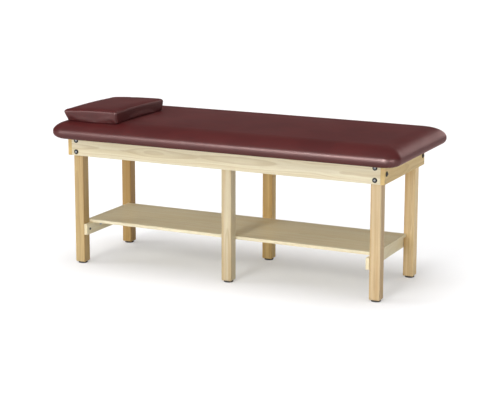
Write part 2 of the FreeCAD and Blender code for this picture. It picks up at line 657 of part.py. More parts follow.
def nut_master():
    """A hexagon nut standing on z 0."""
    body = new_body("nut_master")
    prism = body.newObject("PartDesign::AdditivePrism", "nut_hexagon")
    prism.Polygon = 6
    prism.setExpression("Circumradius", "Sizes.nut_width / 2")
    prism.setExpression("Height", "Sizes.nut_height")
    add_bore(body, BOLT_HOLE, "-Sizes.overrun", "Sizes.nut_height + 2 * Sizes.overrun")
    return body


def bracket_master():
    """An angle bracket: its upright arm below its corner, its level arm towards +Y."""
    body = new_body("bracket_master")
    arms = [
        ("upright", "Sizes.bracket_thickness", "Sizes.bracket_arm", "-Sizes.bracket_arm"),
        ("level", "Sizes.bracket_arm", "Sizes.bracket_thickness", "-Sizes.bracket_thickness"),
    ]
    for name, width, height, low in arms:
        arm = body.newObject("PartDesign::AdditiveBox", f"bracket_{name}")
        arm.setExpression("Length", "Sizes.bracket_width")
        arm.setExpression("Width", width)
        arm.setExpression("Height", height)
        arm.setExpression("Placement.Base.x", "-Sizes.bracket_width / 2")
        arm.setExpression("Placement.Base.z", low)
    doc.recompute()
    drill_through(body, "XZ_Plane", "upright_hole", [("0", "(-1 * Sizes.bracket_hole)")], SCREW_HOLE)
    drill_through(body, "XY_Plane", "level_hole", [("0", "Sizes.bracket_hole")], SCREW_HOLE)
    return body


def shifted(spots, x_step="0", y_step="0"):
    """Places moved along X and Y by the same steps."""
    return [(f"({x} + {x_step})", f"({y} + {y_step})", z) for x, y, z in spots]


def facing(side, spots):
    """The same turn for every place of a group."""
    return [(FACING[side], x, y, z) for x, y, z in spots]


def apron_spots(y):
    """The four bolt places of a long apron, on the plane at y."""
    levels = [f"({FRAME_BOTTOM} + {z})" for z in (BOLT_LOW, BOLT_HIGH)]
    return [(x, y, z) for x in (f"(-1 * {LEG_CENTRE_X})", LEG_CENTRE_X) for z in levels]


def end_spots(x, y, z):
    """The front and back bolt places of an end, on the plane at x."""
    return [(x, f"(-1 * {y})", z), (x, y, z)]


def build_frame_fasteners():
    """Bolts, washers and nuts of the corners, nails of the end boards, screws of the middle legs."""
    grip = "(Sizes.washer_thickness + Sizes.leg_side + Sizes.nut_height + Sizes.bolt_tail)"
    apron_bolt = bolt_master("apron_bolt_master", f"({grip} + Sizes.apron_thickness)")
    end_bolt = bolt_master("end_bolt_master", f"({grip} + Sizes.end_board_thickness)")
    washer = washer_master()
    nut = nut_master()
    half_width = f"({FRAME_WIDTH} / 2)"
    half_length = f"({FRAME_LENGTH} / 2)"
    middle = f"({FRAME_BOTTOM} + {APRON_MIDDLE})"
    for side, sign in (("front", "-1 * "), ("back", "")):
        face = apron_spots(f"({sign}{half_width})")
        step = f"({sign}Sizes.washer_thickness)"
        group(f"{side}_apron_washers", washer, facing(side, face))
        group(f"{side}_apron_bolts", apron_bolt, facing(side, shifted(face, y_step=step)))
        inner = apron_spots(f"({sign}{LEG_INNER_Y})")
        group(f"{side}_apron_nuts", nut, facing(OPPOSITE[side], inner))
    for end, sign in (("head", "-1 * "), ("foot", "")):
        face = end_spots(f"({sign}{half_length})", END_BOLT_Y, middle)
        step = f"({sign}Sizes.washer_thickness)"
        group(f"{end}_end_washers", washer, facing(end, face))
        group(f"{end}_end_bolts", end_bolt, facing(end, shifted(face, x_step=step)))
        inner = end_spots(f"({sign}{LEG_INNER_X})", END_BOLT_Y, middle)
        group(f"{end}_end_nuts", nut, facing(OPPOSITE[end], inner))
    nail = turned("nail_master", [
        ("shank", "Sizes.nail_diameter", f"(-1 * {NAIL_TIP})", "Sizes.nail_length"),
        ("head", "Sizes.nail_head_diameter", "(-1 * Sizes.nail_head_height)", "Sizes.nail_head_height"),
    ])
    nails = []
    nail_y = f"({half_width} - {NAIL_DEPTH})"
    for end, sign in (("head", "-1 * "), ("foot", "")):
        for z in ("Sizes.nail_edge", NAIL_HIGH):
            spots = end_spots(f"({sign}{half_length})", nail_y, f"({FRAME_BOTTOM} + {z})")
            nails += facing(end, spots)
    group("end_board_nails", nail, nails)
    leg_screw = screw_master("leg_screw_master", "Sizes.leg_screw_length")
    screws = []
    for side, sign in (("front", "-1 * "), ("back", "")):
        screws += facing(OPPOSITE[side], [(x, f"({sign}{LEG_INNER_Y})", middle) for x in LEG_SCREW_X])
    group("middle_leg_screws", leg_screw, screws)
    dowel = turned("dowel_master", [
        ("pin", "Sizes.dowel_diameter", "(-1 * Sizes.dowel_reach)", "(2 * Sizes.dowel_reach)"),
    ])
    dowels = []
    for side, sign in (("front", "-1 * "), ("back", "")):
        for z in (DOWEL_LOW, DOWEL_HIGH):
            spot = ("Sizes.middle_leg_offset", f"({sign}{LEG_INNER_Y})", f"({RAIL_BOTTOM} + {z})")
            dowels += facing(side, [spot])
    group("rail_dowels", dowel, dowels)


def build_shelf_fasteners():
    """Bolts that hold the stretchers to the corner legs."""
    bolt = bolt_master("stretcher_bolt_master", "(Sizes.stretcher_thickness + Sizes.stretcher_bolt_grip)")
    for end, sign in (("head", "-1 * "), ("foot", "")):
        spots = end_spots(f"({sign}{STRETCHER_INNER_X})", LEG_CENTRE_Y, STRETCHER_MIDDLE)
        group(f"{end}_stretcher_bolts", bolt, facing(OPPOSITE[end], spots))


def build_brackets(label, brackets, corner_level, bracket, screw):
    """Angle brackets with their screws: one into the upright face, one up into the panel."""
    group(f"{label}_brackets", bracket, [(STANDING[side], x, y, corner_level) for side, x, y in brackets])
    screws = []
    upright = f"({corner_level} - Sizes.bracket_hole)"
    for side, x, y in brackets:
        step = {
            "front": ("0", "Sizes.bracket_thickness"),
            "back": ("0", "-Sizes.bracket_thickness"),
            "head": ("Sizes.bracket_thickness", "0"),
            "foot": ("-Sizes.bracket_thickness", "0"),
        }[side]
        screws += facing(OPPOSITE[side], shifted([(x, y, upright)], *step))
    level = f"({corner_level} - Sizes.bracket_thickness)"
    screws += [(FACING["down"], x, y, level) for x, y in level_holes(brackets)]
    group(f"{label}_bracket_screws", screw, screws)


def build_all_brackets():
    """The brackets under the deck and under the shelf."""
    bracket = bracket_master()
    screw = screw_master("bracket_screw_master", "Sizes.screw_length")
    build_brackets("deck", DECK_BRACKETS, FRAME_TOP, bracket, screw)
    build_brackets("shelf", SHELF_BRACKETS, SHELF_UNDER, bracket, screw)


def build_glides():
    """A round glide with its pin under each leg."""
    glide = turned("glide_master", [
        ("pin", "Sizes.glide_pin_diameter", "Sizes.glide_height", "Sizes.glide_pin_length"),
        ("disc", "Sizes.glide_diameter", "0", "Sizes.glide_height"),
    ])
    round_end(glide, "0", "Sizes.glide_edge_radius")
    columns = {"head": f"(-1 * {LEG_CENTRE_X})", "middle": "Sizes.middle_leg_offset", "foot": LEG_CENTRE_X}
    for side, sign in (("front", "-1 * "), ("back", "")):
        for column, x in columns.items():
            group(f"{side}_{column}_glide", glide, [(None, x, f"({sign}{LEG_CENTRE_Y})", "0")])


build_frame_fasteners()
build_shelf_fasteners()
build_all_brackets()
build_glides()


# Padded forms: rounded in plan, with elliptical upper and lower edges and a crown that rises to the middle
EDGE_ANGLES = [0, 15, 30, 45, 60, 75, 90]
LOWER_ANGLES = [90, 60, 30, 0]
CROWN_SHARES = [(0.3, 0.7), (0.65, 1.0)]
CORNER_SHARE = 0.35


def edge_levels(height, upper, lower, crown, half_width):
    """Insets and heights of a padded form's sections, from its underside to the top of its crown."""
    levels = []
    for angle in LOWER_ANGLES:
        levels.append((f"({lower[0]} * (1 - cos({angle} deg)))", f"({lower[1]} * (1 - sin({angle} deg)))"))
    shoulder = f"({height} - {crown})"
    for angle in EDGE_ANGLES:
        rise = f"({shoulder} - {upper[1]} * (1 - sin({angle} deg)))"
        levels.append((f"({upper[0]} * (1 - cos({angle} deg)))", rise))
    for inset_share, rise_share in CROWN_SHARES:
        inset = f"({upper[0]} + {inset_share} * ({half_width} - {upper[0]}))"
        levels.append((inset, f"({shoulder} + {rise_share} * {crown})"))
    return levels


def padded_form(label, length, width, corner, height, upper, lower, crown):
    """A padded solid on its local z 0. The upper and lower edges each have a reach and a rise."""
    body = new_body(label)
    half_width = f"(min({length}; {width}) / 2)"
    sections = []
    for i, (inset, level) in enumerate(edge_levels(height, upper, lower, crown, half_width)):
        section = new_sketch(body, "XY_Plane", f"{label}_section_{i}", level)
        radius = f"(max({corner} - {CORNER_SHARE} * {inset}; Sizes.least_corner_radius))"
        draw_rounded_rectangle(section, f"({length} - 2 * {inset})", f"({width} - 2 * {inset})", radius)
        sections.append(section)
    loft = body.newObject("PartDesign::AdditiveLoft", f"{label}_form")
    loft.Profile = sections[0]
    loft.Sections = sections[1:]
    loft.Ruled = True
    doc.recompute()
    return body


def cut(label, base, tool):
    """The base with the tool taken away."""
    result = doc.addObject("Part::Cut", label)
    result.Label = label
    result.Base = base
    result.Tool = tool
    doc.recompute()
    return result


def build_board(label, end_inset, side_inset, radius, height):
    """A board as large as the padded top less an inset at the ends and sides, on its local z 0."""
    body = new_body(label)
    sketch = new_sketch(body, "XY_Plane", f"{label}_outline")
    length = f"(Sizes.overall_length - 2 * {end_inset})"
    width = f"(Sizes.overall_width - 2 * {side_inset})"
    draw_rounded_rectangle(sketch, length, width, radius)
    add_pad(body, sketch, f"{label}_blank", height)
    return body


def top_form(label, inset, base):
    """The padded top's form drawn in by an inset, its underside at a base from the frame's top."""
    form = padded_form(
        label,
        f"(Sizes.overall_length - 2 * {inset})",
        f"(Sizes.overall_width - 2 * {inset})",
        f"(Sizes.top_corner_radius - {inset})",
        f"(Sizes.upholstery_height - {inset} - {base})",
        (f"(Sizes.top_edge_reach - {inset})", f"(Sizes.top_edge_rise - {inset})"),
        (f"(Sizes.top_lower_reach - {inset})", f"(Sizes.top_lower_rise - {inset})"),
        "Sizes.top_crown",
    )
    place(form, "0", "0", f"({FRAME_TOP} + {base})", middle="0")
    return form


def build_top():
    """The deck, its foam and the vinyl cover that wraps both and turns in under the deck."""
    skin = "Sizes.cover_thickness"
    gap = "(Sizes.cover_thickness + Sizes.cover_clearance)"
    outer = top_form("top_outer", "0", f"(-1 * {skin})")
    inner = top_form("top_inner", skin, "0")
    padding = top_form("top_padding", gap, "Sizes.cover_clearance")
    deck_inset = f"({gap} + Sizes.foam_wrap)"
    deck_radius = f"(Sizes.top_corner_radius - {CORNER_SHARE} * {deck_inset})"
    boards = []
    for label in ("top_deck", "deck_space"):
        made = build_board(label, deck_inset, deck_inset, deck_radius, "Sizes.deck_thickness")
        place(made, "0", "0", FRAME_TOP, middle="0")
        boards.append(made)
    deck, space = boards
    screws = [(f"({x} + {FRAME_MIDDLE})", y) for x, y in level_holes(DECK_BRACKETS)]
    drill_blind(deck, "XY_Plane", "bracket_holes", screws, SCREW_HOLE, "0", SCREW_DEPTH, True)
    keep(deck)
    keep(cut("top_foam", padding, space))
    opening = build_board(
        "top_opening",
        "Sizes.cover_end_wrap",
        "Sizes.cover_side_wrap",
        "(Sizes.top_corner_radius - Sizes.cover_end_wrap)",
        "(2 * Sizes.overrun)",
    )
    place(opening, "0", "0", f"({FRAME_TOP} - Sizes.overrun)", middle="0")
    shell = cut("top_shell", outer, inner)
    keep(cut("top_cover", shell, opening))


def build_pillow():
    """The loose pillow: a foam block in a closed vinyl cover, its underside shaped by the padded top."""
    centre_x = "(-1 * (Sizes.overall_length / 2 - Sizes.pillow_from_end - Sizes.pillow_length / 2))"
    base = "(Sizes.overall_height - Sizes.pillow_sink)"
    forms = []
    for label, inset in (
        ("pillow_outer", "0"),
        ("pillow_inner", "Sizes.cover_thickness"),
        ("pillow_padding", "(Sizes.cover_thickness + Sizes.cover_clearance)"),
    ):
        upper = f"(Sizes.pillow_edge_radius - {inset})"
        lower = f"(Sizes.pillow_lower_radius - {inset})"
        block = padded_form(
            f"{label}_block",
            f"(Sizes.pillow_length - 2 * {inset})",
            f"(Sizes.pillow_width - 2 * {inset})",
            f"(Sizes.pillow_corner_radius - {inset})",
            f"(Sizes.pillow_height - 2 * {inset})",
            (upper, upper),
            (lower, lower),
            "Sizes.pillow_crown",
        )
        place(block, centre_x, "(-1 * Sizes.pillow_shift)", f"({base} + {inset})", middle="0")
        support = top_form(f"{label}_support", f"(-1 * (Sizes.pillow_clearance + {inset}))", "0")
        forms.append(cut("pillow_foam" if label == "pillow_padding" else label, block, support))
    outer, inner, foam = forms
    keep(cut("pillow_cover", outer, inner))
    keep(foam)


build_top()
build_pillow()

# Checks and writing
doc.recompute()
for item in doc.Objects:
    if "Invalid" in item.State or "Error" in item.State:
        raise RuntimeError(f"{item.Label} failed: {item.State}")
for item in subparts:
    if item.Shape.isNull() or not item.Shape.isValid():
        raise RuntimeError(f"{item.Label} has no valid shape")

os.makedirs("parts", exist_ok=True)
for item in subparts:
    item.Shape.exportStep(f"parts/{item.Label}.step")
    print(f"{item.Label}: {len(item.Shape.Solids)} solids, {item.Shape.Volume:.0f} mm3")
print(f"{len(subparts)} sub-parts written")
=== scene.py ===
"""A chiropractic table: a long padded top on a pale timber frame with six legs, a shelf and a loose pillow.

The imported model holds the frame, the legs, the shelf and their fastenings, and this file gives them
their finishes. The padded top and the pillow are modelled here as upholstered pieces. Lengths are
in metres, X runs from the head end to the foot end, and -Y is the side that faces the camera.
"""

import logging
import math
from collections.abc import Callable, Iterable, Sequence
from dataclasses import dataclass, field, replace
from enum import Enum
from typing import ClassVar

import bpy
import numpy as np
from mathutils import Matrix, Vector
from numpy.typing import NDArray


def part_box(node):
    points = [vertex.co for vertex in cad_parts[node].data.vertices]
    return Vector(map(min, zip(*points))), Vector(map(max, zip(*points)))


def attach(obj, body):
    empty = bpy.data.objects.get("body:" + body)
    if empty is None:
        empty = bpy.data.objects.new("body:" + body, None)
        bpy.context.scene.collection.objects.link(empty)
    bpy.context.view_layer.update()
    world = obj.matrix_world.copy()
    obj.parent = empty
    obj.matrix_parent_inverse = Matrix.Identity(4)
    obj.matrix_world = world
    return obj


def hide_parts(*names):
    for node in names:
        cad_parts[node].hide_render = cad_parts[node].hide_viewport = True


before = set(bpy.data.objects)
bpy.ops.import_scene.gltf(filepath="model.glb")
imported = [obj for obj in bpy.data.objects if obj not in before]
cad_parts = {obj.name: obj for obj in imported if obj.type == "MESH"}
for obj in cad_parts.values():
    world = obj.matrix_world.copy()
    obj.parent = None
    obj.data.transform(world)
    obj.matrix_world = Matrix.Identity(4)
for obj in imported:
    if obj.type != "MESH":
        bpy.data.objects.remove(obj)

Array = NDArray[np.float64]
Colour = tuple[float, float, float]
Point = tuple[float, float, float]
Value = bpy.types.NodeSocket | float | Sequence[float]

PICTURE_WIDTH = 500.0
PICTURE_HEIGHT = 404.0
MILLIMETRE = 0.001

log = logging.getLogger("chiropractic_table")


class Body(Enum):
    """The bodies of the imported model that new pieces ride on."""

    TABLE = "table"
    PILLOW = "pillow"


class Slot(Enum):
    """A material slot name of the record; nothing in this script reads it."""

    VINYL = "vinyl"


class Grain(Enum):
    """How a board was cut: the axes along its grain, through its thickness and across its face."""

    APRON = ("X", "Y", "Z")
    END_BOARD = ("Y", "X", "Z")
    LEG = ("Z", "Y", "X")
    SHELF = ("X", "Z", "Y")


class Figure(Enum):
    """What shows in a board, in cycles per metre along the grain, through the thickness and across."""

    BEND = (2.1, 2.0, 2.0)
    DRIFT = (1.3, 3.0, 3.0)
    RIPPLE = (7.0, 34.0, 34.0)
    STREAK = (1.0, 42.0, 42.0)
    FIBRE = (11.0, 480.0, 480.0)
    PORE = (60.0, 1500.0, 1500.0)


@dataclass
class Wiring:
    """Places nodes in one node tree and joins them.

    Args:
        tree: the node tree that is filled in.
    """

    tree: bpy.types.NodeTree

    def put(self, socket: bpy.types.NodeSocket, value: Value) -> None:
        """Joins a socket to another one, or gives it a plain value.

        Args:
            socket: the input that is set.
            value: an output to join it to, a number, or the parts of a vector or colour.
        """
        if isinstance(value, bpy.types.NodeSocket):
            self.tree.links.new(value, socket)
        elif socket.type == "RGBA" and len(value) == 3:
            socket.default_value = (*value, 1.0)
        else:
            socket.default_value = value

    def node(self, kind: str, values: dict[str, Value] | None = None, **settings: object) -> bpy.types.Node:
        """Adds one node.

        Args:
            kind: the node's type name.
            values: what goes into its inputs, by name.
            **settings: its own properties.

        Returns:
            The new node.
        """
        made = self.tree.nodes.new(kind)
        for name, setting in settings.items():
            setattr(made, name, setting)
        for name, value in (values or {}).items():
            self.put(made.inputs[name], value)
        return made

    def math(self, operation: str, *values: Value) -> bpy.types.NodeSocket:
        """Adds a Math node.

        Args:
            operation: what it works out.
            *values: its numbers, in order.

        Returns:
            Its output.
        """
        made = self.node("ShaderNodeMath", operation=operation)
        for socket, value in zip(made.inputs, values):
            self.put(socket, value)
        return made.outputs[0]

    def vector(self, operation: str, *values: Value) -> bpy.types.NodeSocket:
        """Adds a Vector Math node.

        Args:
            operation: what it works out.
            *values: its vectors, in order.

        Returns:
            Its vector, or its number for a length or a dot product.
        """
        made = self.node("ShaderNodeVectorMath", operation=operation)
        for socket, value in zip(made.inputs, values):
            self.put(socket, value)
        return made.outputs["Value" if operation in ("LENGTH", "DOT_PRODUCT") else "Vector"]

    def noise(self, place: Value, stretch: Point, detail: float = 2.0) -> bpy.types.NodeSocket:
        """Adds smooth noise, stretched by a different amount along each axis.

        Args:
            place: where the noise is read, in metres.
            stretch: cycles per metre along the three axes.
            detail: how many finer octaves are added.

        Returns:
            Noise from 0 to 1, about 0.5.
        """
        made = self.node(
            "ShaderNodeTexNoise",
            {"Vector": self.vector("MULTIPLY", place, stretch), "Scale": 1.0, "Detail": detail},
        )
        return made.outputs[0]

    def between(
        self, value: Value, low: float, high: float, start: float = 0.0, end: float = 1.0
    ) -> bpy.types.NodeSocket:
        """Adds a smooth step from start to end while the value goes from low to high.

        Args:
            value: the number that is read.
            low: where the step starts.
            high: where it ends.
            start: what is put out below it.
            end: what is put out above it.

        Returns:
            The stepped number.
        """
        names = ("Value", "From Min", "From Max", "To Min", "To Max")
        made = self.node("ShaderNodeMapRange", interpolation_type="SMOOTHSTEP")
        for name, part in zip(names, (value, low, high, start, end)):
            self.put(made.inputs[name], part)
        return made.outputs["Result"]

    def mix(self, share: Value, first: Value, second: Value, blend: str = "MIX") -> bpy.types.NodeSocket:
        """Adds a mix of two colours.

        Args:
            share: how much of the second shows, from 0 to 1.
            first: the colour at 0.
            second: the colour at 1.
            blend: how they are combined.

        Returns:
            The mixed colour.
        """
        made = self.node("ShaderNodeMix", data_type="RGBA", blend_type=blend)
        colours = [socket for socket in made.inputs if socket.type == "RGBA"]
        self.put(made.inputs[0], share)
        self.put(colours[0], first)
        self.put(colours[1], second)
        return next(socket for socket in made.outputs if socket.type == "RGBA")


@dataclass(frozen=True)
class GroupSocket:
    """One named input or output of a shader node group.

    Args:
        name: its name.
        kind: its socket type.
        default: what it holds when nothing is joined to it.
    """

    name: str
    kind: str
    default: float | Sequence[float] | None = None


@dataclass
class GroupMaker:
    """Builds a shader node group once and places it in materials.

    Args:
        name: the group's name.
        inputs: its input sockets.
        outputs: its output sockets.
        fill: a function that joins the inputs to the outputs.
    """

    name: str
    inputs: Sequence[GroupSocket]
    outputs: Sequence[GroupSocket]
    fill: Callable[[Wiring, dict[str, bpy.types.NodeSocket]], dict[str, bpy.types.NodeSocket]]

    def tree(self) -> bpy.types.NodeTree:
        """Finds the group, or builds it the first time.

        Returns:
            The group's node tree.
        """
        found = bpy.data.node_groups.get(self.name)
        if found:
            return found
        made = bpy.data.node_groups.new(self.name, "ShaderNodeTree")
        for sockets, direction in ((self.inputs, "INPUT"), (self.outputs, "OUTPUT")):
            for socket in sockets:
                new = made.interface.new_socket(socket.name, in_out=direction, socket_type=socket.kind)
                if socket.default is not None:
                    new.default_value = socket.default
        wiring = Wiring(made)
        start = wiring.node("NodeGroupInput")
        end = wiring.node("NodeGroupOutput")
        results = self.fill(wiring, {socket.name: start.outputs[socket.name] for socket in self.inputs})
        for name, result in results.items():
            wiring.put(end.inputs[name], result)
        return made

    def place(self, wiring: Wiring, values: dict[str, Value]) -> bpy.types.Node:
        """Places the group in a material.

        Args:
            wiring: the material's wiring.
            values: what goes into the group's inputs, by name.

        Returns:
            The group node.
        """
        return wiring.node("ShaderNodeGroup", values, node_tree=self.tree())


FLOAT = "NodeSocketFloat"
COLOUR = "NodeSocketColor"
VECTOR = "NodeSocketVector"


def fill_board_grain(w: Wiring, inputs: dict[str, bpy.types.NodeSocket]) -> dict[str, bpy.types.NodeSocket]:
    """Joins up the grain of sawn timber.

    A board is cut from rings round a pith that wanders as it runs along the board. The distance
    from the pith, divided by the ring width, gives the growth ring, whose late wood is a darker
    line. Where the pith comes nearer the face, the lines close into arches. Streaks, fibres and
    short pores run along the grain, and cut ends are darker.

    Args:
        w: the group's wiring.
        inputs: its input sockets by name.

    Returns:
        Its results by name.
    """
    place, seed = inputs["Place"], inputs["Seed"]
    shift = w.node("ShaderNodeCombineXYZ", {"X": seed, "Y": seed, "Z": seed}).outputs[0]
    moved = w.vector("ADD", place, shift)
    parts = w.node("ShaderNodeSeparateXYZ", {"Vector": place}).outputs
    bend = w.math("SUBTRACT", w.noise(moved, Figure.BEND.value, 1.0), 0.5)
    drift = w.math("SUBTRACT", w.noise(moved, Figure.DRIFT.value, 1.0), 0.5)
    ripple = w.math("SUBTRACT", w.noise(moved, Figure.RIPPLE.value, 2.0), 0.5)
    deep = w.math("ADD", parts[1], w.math("MULTIPLY_ADD", bend, inputs["Wander"], inputs["Pith Depth"]))
    aside = w.math("MULTIPLY_ADD", drift, w.math("MULTIPLY", inputs["Wander"], 0.8), parts[2])
    aside = w.math("SUBTRACT", aside, inputs["Pith Aside"])
    squared = w.math("ADD", w.math("MULTIPLY", deep, deep), w.math("MULTIPLY", aside, aside))
    distance = w.math("MULTIPLY_ADD", ripple, 0.0045, w.math("SQRT", squared))
    rings = w.math("DIVIDE", distance, inputs["Ring Width"])
    part = w.math("FRACT", rings)
    line = w.math("MULTIPLY", w.between(part, 0.25, 0.86), w.between(part, 0.9, 1.0, 1.0, 0.0))
    years = {"W": rings, "Scale": 0.83, "Detail": 1.0}
    year = w.node("ShaderNodeTexNoise", years, noise_dimensions="1D").outputs[0]
    line = w.math("MULTIPLY", line, w.between(year, 0.3, 0.7, 0.25, 1.0))
    streak = w.between(w.noise(moved, Figure.STREAK.value, 2.0), 0.36, 0.66)
    fibre = w.noise(moved, Figure.FIBRE.value, 2.0)
    pore = w.between(w.noise(moved, Figure.PORE.value, 1.0), 0.6, 0.72)
    pore = w.math("MULTIPLY", pore, w.math("SUBTRACT", 1.0, line))
    facing = w.node("ShaderNodeSeparateXYZ", {"Vector": inputs["Facing"]}).outputs[0]
    cut = w.between(w.math("ABSOLUTE", facing), 0.6, 0.95)
    colour = w.mix(w.math("MULTIPLY", streak, inputs["Streaks"]), inputs["Pale"], inputs["Tan"])
    colour = w.mix(w.math("MULTIPLY", line, inputs["Lines"]), colour, inputs["Line"])
    colour = w.mix(w.between(fibre, 0.45, 0.8, 0.0, 0.22), colour, inputs["Line"])
    colour = w.mix(w.math("MULTIPLY", pore, 0.3), colour, inputs["Line"])
    colour = w.mix(w.math("MULTIPLY", cut, 0.5), colour, w.mix(0.4, inputs["Tan"], inputs["Line"]))
    rough = w.math("ADD", w.between(fibre, 0.3, 0.7, 0.36, 0.46), w.math("MULTIPLY", pore, 0.12))
    height = w.math("MULTIPLY_ADD", line, -0.35, w.math("MULTIPLY", fibre, 0.3))
    height = w.math("MULTIPLY_ADD", pore, -0.6, height)
    return {"Color": colour, "Roughness": rough, "Height": height}


BOARD_GRAIN = GroupMaker(
    "Board grain",
    (
        GroupSocket("Place", VECTOR),
        GroupSocket("Facing", VECTOR),
        GroupSocket("Pale", COLOUR),
        GroupSocket("Tan", COLOUR),
        GroupSocket("Line", COLOUR),
        GroupSocket("Pith Depth", FLOAT, 0.05),
        GroupSocket("Pith Aside", FLOAT, 0.0),
        GroupSocket("Ring Width", FLOAT, 0.008),
        GroupSocket("Wander", FLOAT, 0.04),
        GroupSocket("Lines", FLOAT, 0.5),
        GroupSocket("Streaks", FLOAT, 0.5),
        GroupSocket("Seed", FLOAT, 0.0),
    ),
    (GroupSocket("Color", COLOUR), GroupSocket("Roughness", FLOAT), GroupSocket("Height", FLOAT)),
    fill_board_grain,
)


def fill_eased_edge(w: Wiring, inputs: dict[str, bpy.types.NodeSocket]) -> dict[str, bpy.types.NodeSocket]:
    """Joins up a mask of outer and inner edges, where metal shows rubbed wear and wood shows painted shade.

    The mask grows with the turn between the surface's own normal and the normal rounded over the
    given radius, so that it shows along outer and inner edges only.

    Args:
        w: the group's wiring.
        inputs: its input sockets by name.

    Returns:
        Its results by name.
    """
    rounded = w.node("ShaderNodeBevel", {"Radius": inputs["Radius"]}, samples=6).outputs[0]
    plain = w.node("ShaderNodeNewGeometry").outputs["Normal"]
    turn = w.math("SUBTRACT", 1.0, w.vector("DOT_PRODUCT", rounded, plain))
    return {"Edge": w.between(turn, 0.02, 0.28)}


EASED_EDGE = GroupMaker(
    "Eased edge",
    (GroupSocket("Radius", FLOAT, 0.002),),
    (GroupSocket("Edge", FLOAT),),
    fill_eased_edge,
)


def fill_pebbled_hide(w: Wiring, inputs: dict[str, bpy.types.NodeSocket]) -> dict[str, bpy.types.NodeSocket]:
    """Joins up the pressed grain of upholstery vinyl.

    Rounded pebbles are cells whose height falls towards their borders, with a finer grain on them.
    A slow tone varies over a hand's breadth, and rubbed places are a little smoother.

    Args:
        w: the group's wiring.
        inputs: its input sockets by name.

    Returns:
        Its results by name.
    """
    place = inputs["Place"]
    warp = w.node("ShaderNodeTexNoise", {"Vector": place, "Scale": 420.0, "Detail": 1.0}).outputs[1]
    warped = w.vector("ADD", place, w.vector("MULTIPLY", warp, (0.0012, 0.0012, 0.0012)))
    cells = w.node(
        "ShaderNodeTexVoronoi",
        {"Vector": warped, "Scale": w.math("DIVIDE", 1.0, inputs["Pebble"]), "Smoothness": 0.5},
        feature="SMOOTH_F1",
    ).outputs[0]
    fine = w.noise(place, (2400.0, 2400.0, 2400.0), 1.0)
    height = w.math("MULTIPLY_ADD", fine, 0.15, w.between(cells, 0.15, 0.75, 1.0, 0.0))
    tone = w.between(w.noise(place, (7.0, 7.0, 7.0), 3.0), 0.35, 0.68)
    rubbed = w.noise(place, (3.0, 4.0, 4.0), 2.0)
    gloss = w.math("MULTIPLY_ADD", w.between(cells, 0.3, 0.8), 0.05, w.between(rubbed, 0.3, 0.7, 0.0, 0.06))
    return {"Height": height, "Tone": tone, "Gloss": gloss}


PEBBLED_HIDE = GroupMaker(
    "Pebbled hide",
    (GroupSocket("Place", VECTOR), GroupSocket("Pebble", FLOAT, 0.0013)),
    (GroupSocket("Height", FLOAT), GroupSocket("Tone", FLOAT), GroupSocket("Gloss", FLOAT)),
    fill_pebbled_hide,
)


def fill_fine_surface(w: Wiring, inputs: dict[str, bpy.types.NodeSocket]) -> dict[str, bpy.types.NodeSocket]:
    """Joins up the small unevenness of metal and plastic.

    Two sizes of noise are added: soft cloudy patches, and a fine tooth that is the height.

    Args:
        w: the group's wiring.
        inputs: its input sockets by name.

    Returns:
        Its results by name.
    """
    place, size = inputs["Place"], inputs["Size"]
    sizes = w.node("ShaderNodeCombineXYZ", {"X": size, "Y": size, "Z": size}).outputs[0]
    spread = w.vector("DIVIDE", place, sizes)
    cloudy = w.between(w.noise(spread, (1.0, 1.0, 1.0), 3.0), 0.35, 0.65)
    tooth = w.noise(spread, (9.0, 9.0, 9.0), 2.0)
    return {"Tone": cloudy, "Height": tooth}


FINE_SURFACE = GroupMaker(
    "Fine surface",
    (GroupSocket("Place", VECTOR), GroupSocket("Size", FLOAT, 0.01)),
    (GroupSocket("Tone", FLOAT), GroupSocket("Height", FLOAT)),
    fill_fine_surface,
)


def new_material(name: str) -> tuple[bpy.types.Material, Wiring, bpy.types.Node, bpy.types.Node]:
    """Starts a material.

    Args:
        name: its name.

    Returns:
        The material, its wiring, its Principled shader and its Texture Coordinate node.
    """
    made = bpy.data.materials.new(name)
    made.use_nodes = True
    made.node_tree.nodes.clear()
    wiring = Wiring(made.node_tree)
    shader = wiring.node("ShaderNodeBsdfPrincipled")
    wiring.node("ShaderNodeOutputMaterial", {"Surface": shader.outputs[0]})
    return made, wiring, shader, wiring.node("ShaderNodeTexCoord")


def add_bump(w: Wiring, shader: bpy.types.Node, height: Value, strength: float, depth: float) -> None:
    """Gives a shader a bumped normal.

    Args:
        w: the material's wiring.
        shader: the shader whose normal is set.
        height: the height that varies over the surface.
        strength: how much of the bump shows, from 0 to 1.
        depth: how deep a height of 1 is, in metres.
    """
    bump = w.node("ShaderNodeBump", {"Height": height, "Strength": strength, "Distance": depth})
    w.put(shader.inputs["Normal"], bump.outputs[0])


@dataclass(frozen=True)
class Timber:
    """The colours and growth of one kind of timber.

    Args:
        pale: the early wood.
        tan: the wood in a streak.
        line: the late wood of a growth ring.
        ring_width: from one growth ring to the next.
        wander: how far the pith wanders along a board.
        lines: how much the growth lines show.
        streaks: how much the streaks show.
    """

    pale: Colour
    tan: Colour
    line: Colour
    ring_width: float
    wander: float
    lines: float
    streaks: float

    def shaded(self, red: float, green: float, blue: float) -> "Timber":
        """Gives the timber of one board with its colours multiplied: for a board's own tone, and for painted
        shade or painted light on boards that stand in shade or in light.

        Args:
            red: multiplies the red of its colours.
            green: multiplies the green.
            blue: multiplies the blue.

        Returns:
            The board's own timber.
        """
        pale, tan, line = (
            (tone[0] * red, tone[1] * green, tone[2] * blue) for tone in (self.pale, self.tan, self.line)
        )
        return replace(self, pale=pale, tan=tan, line=line)


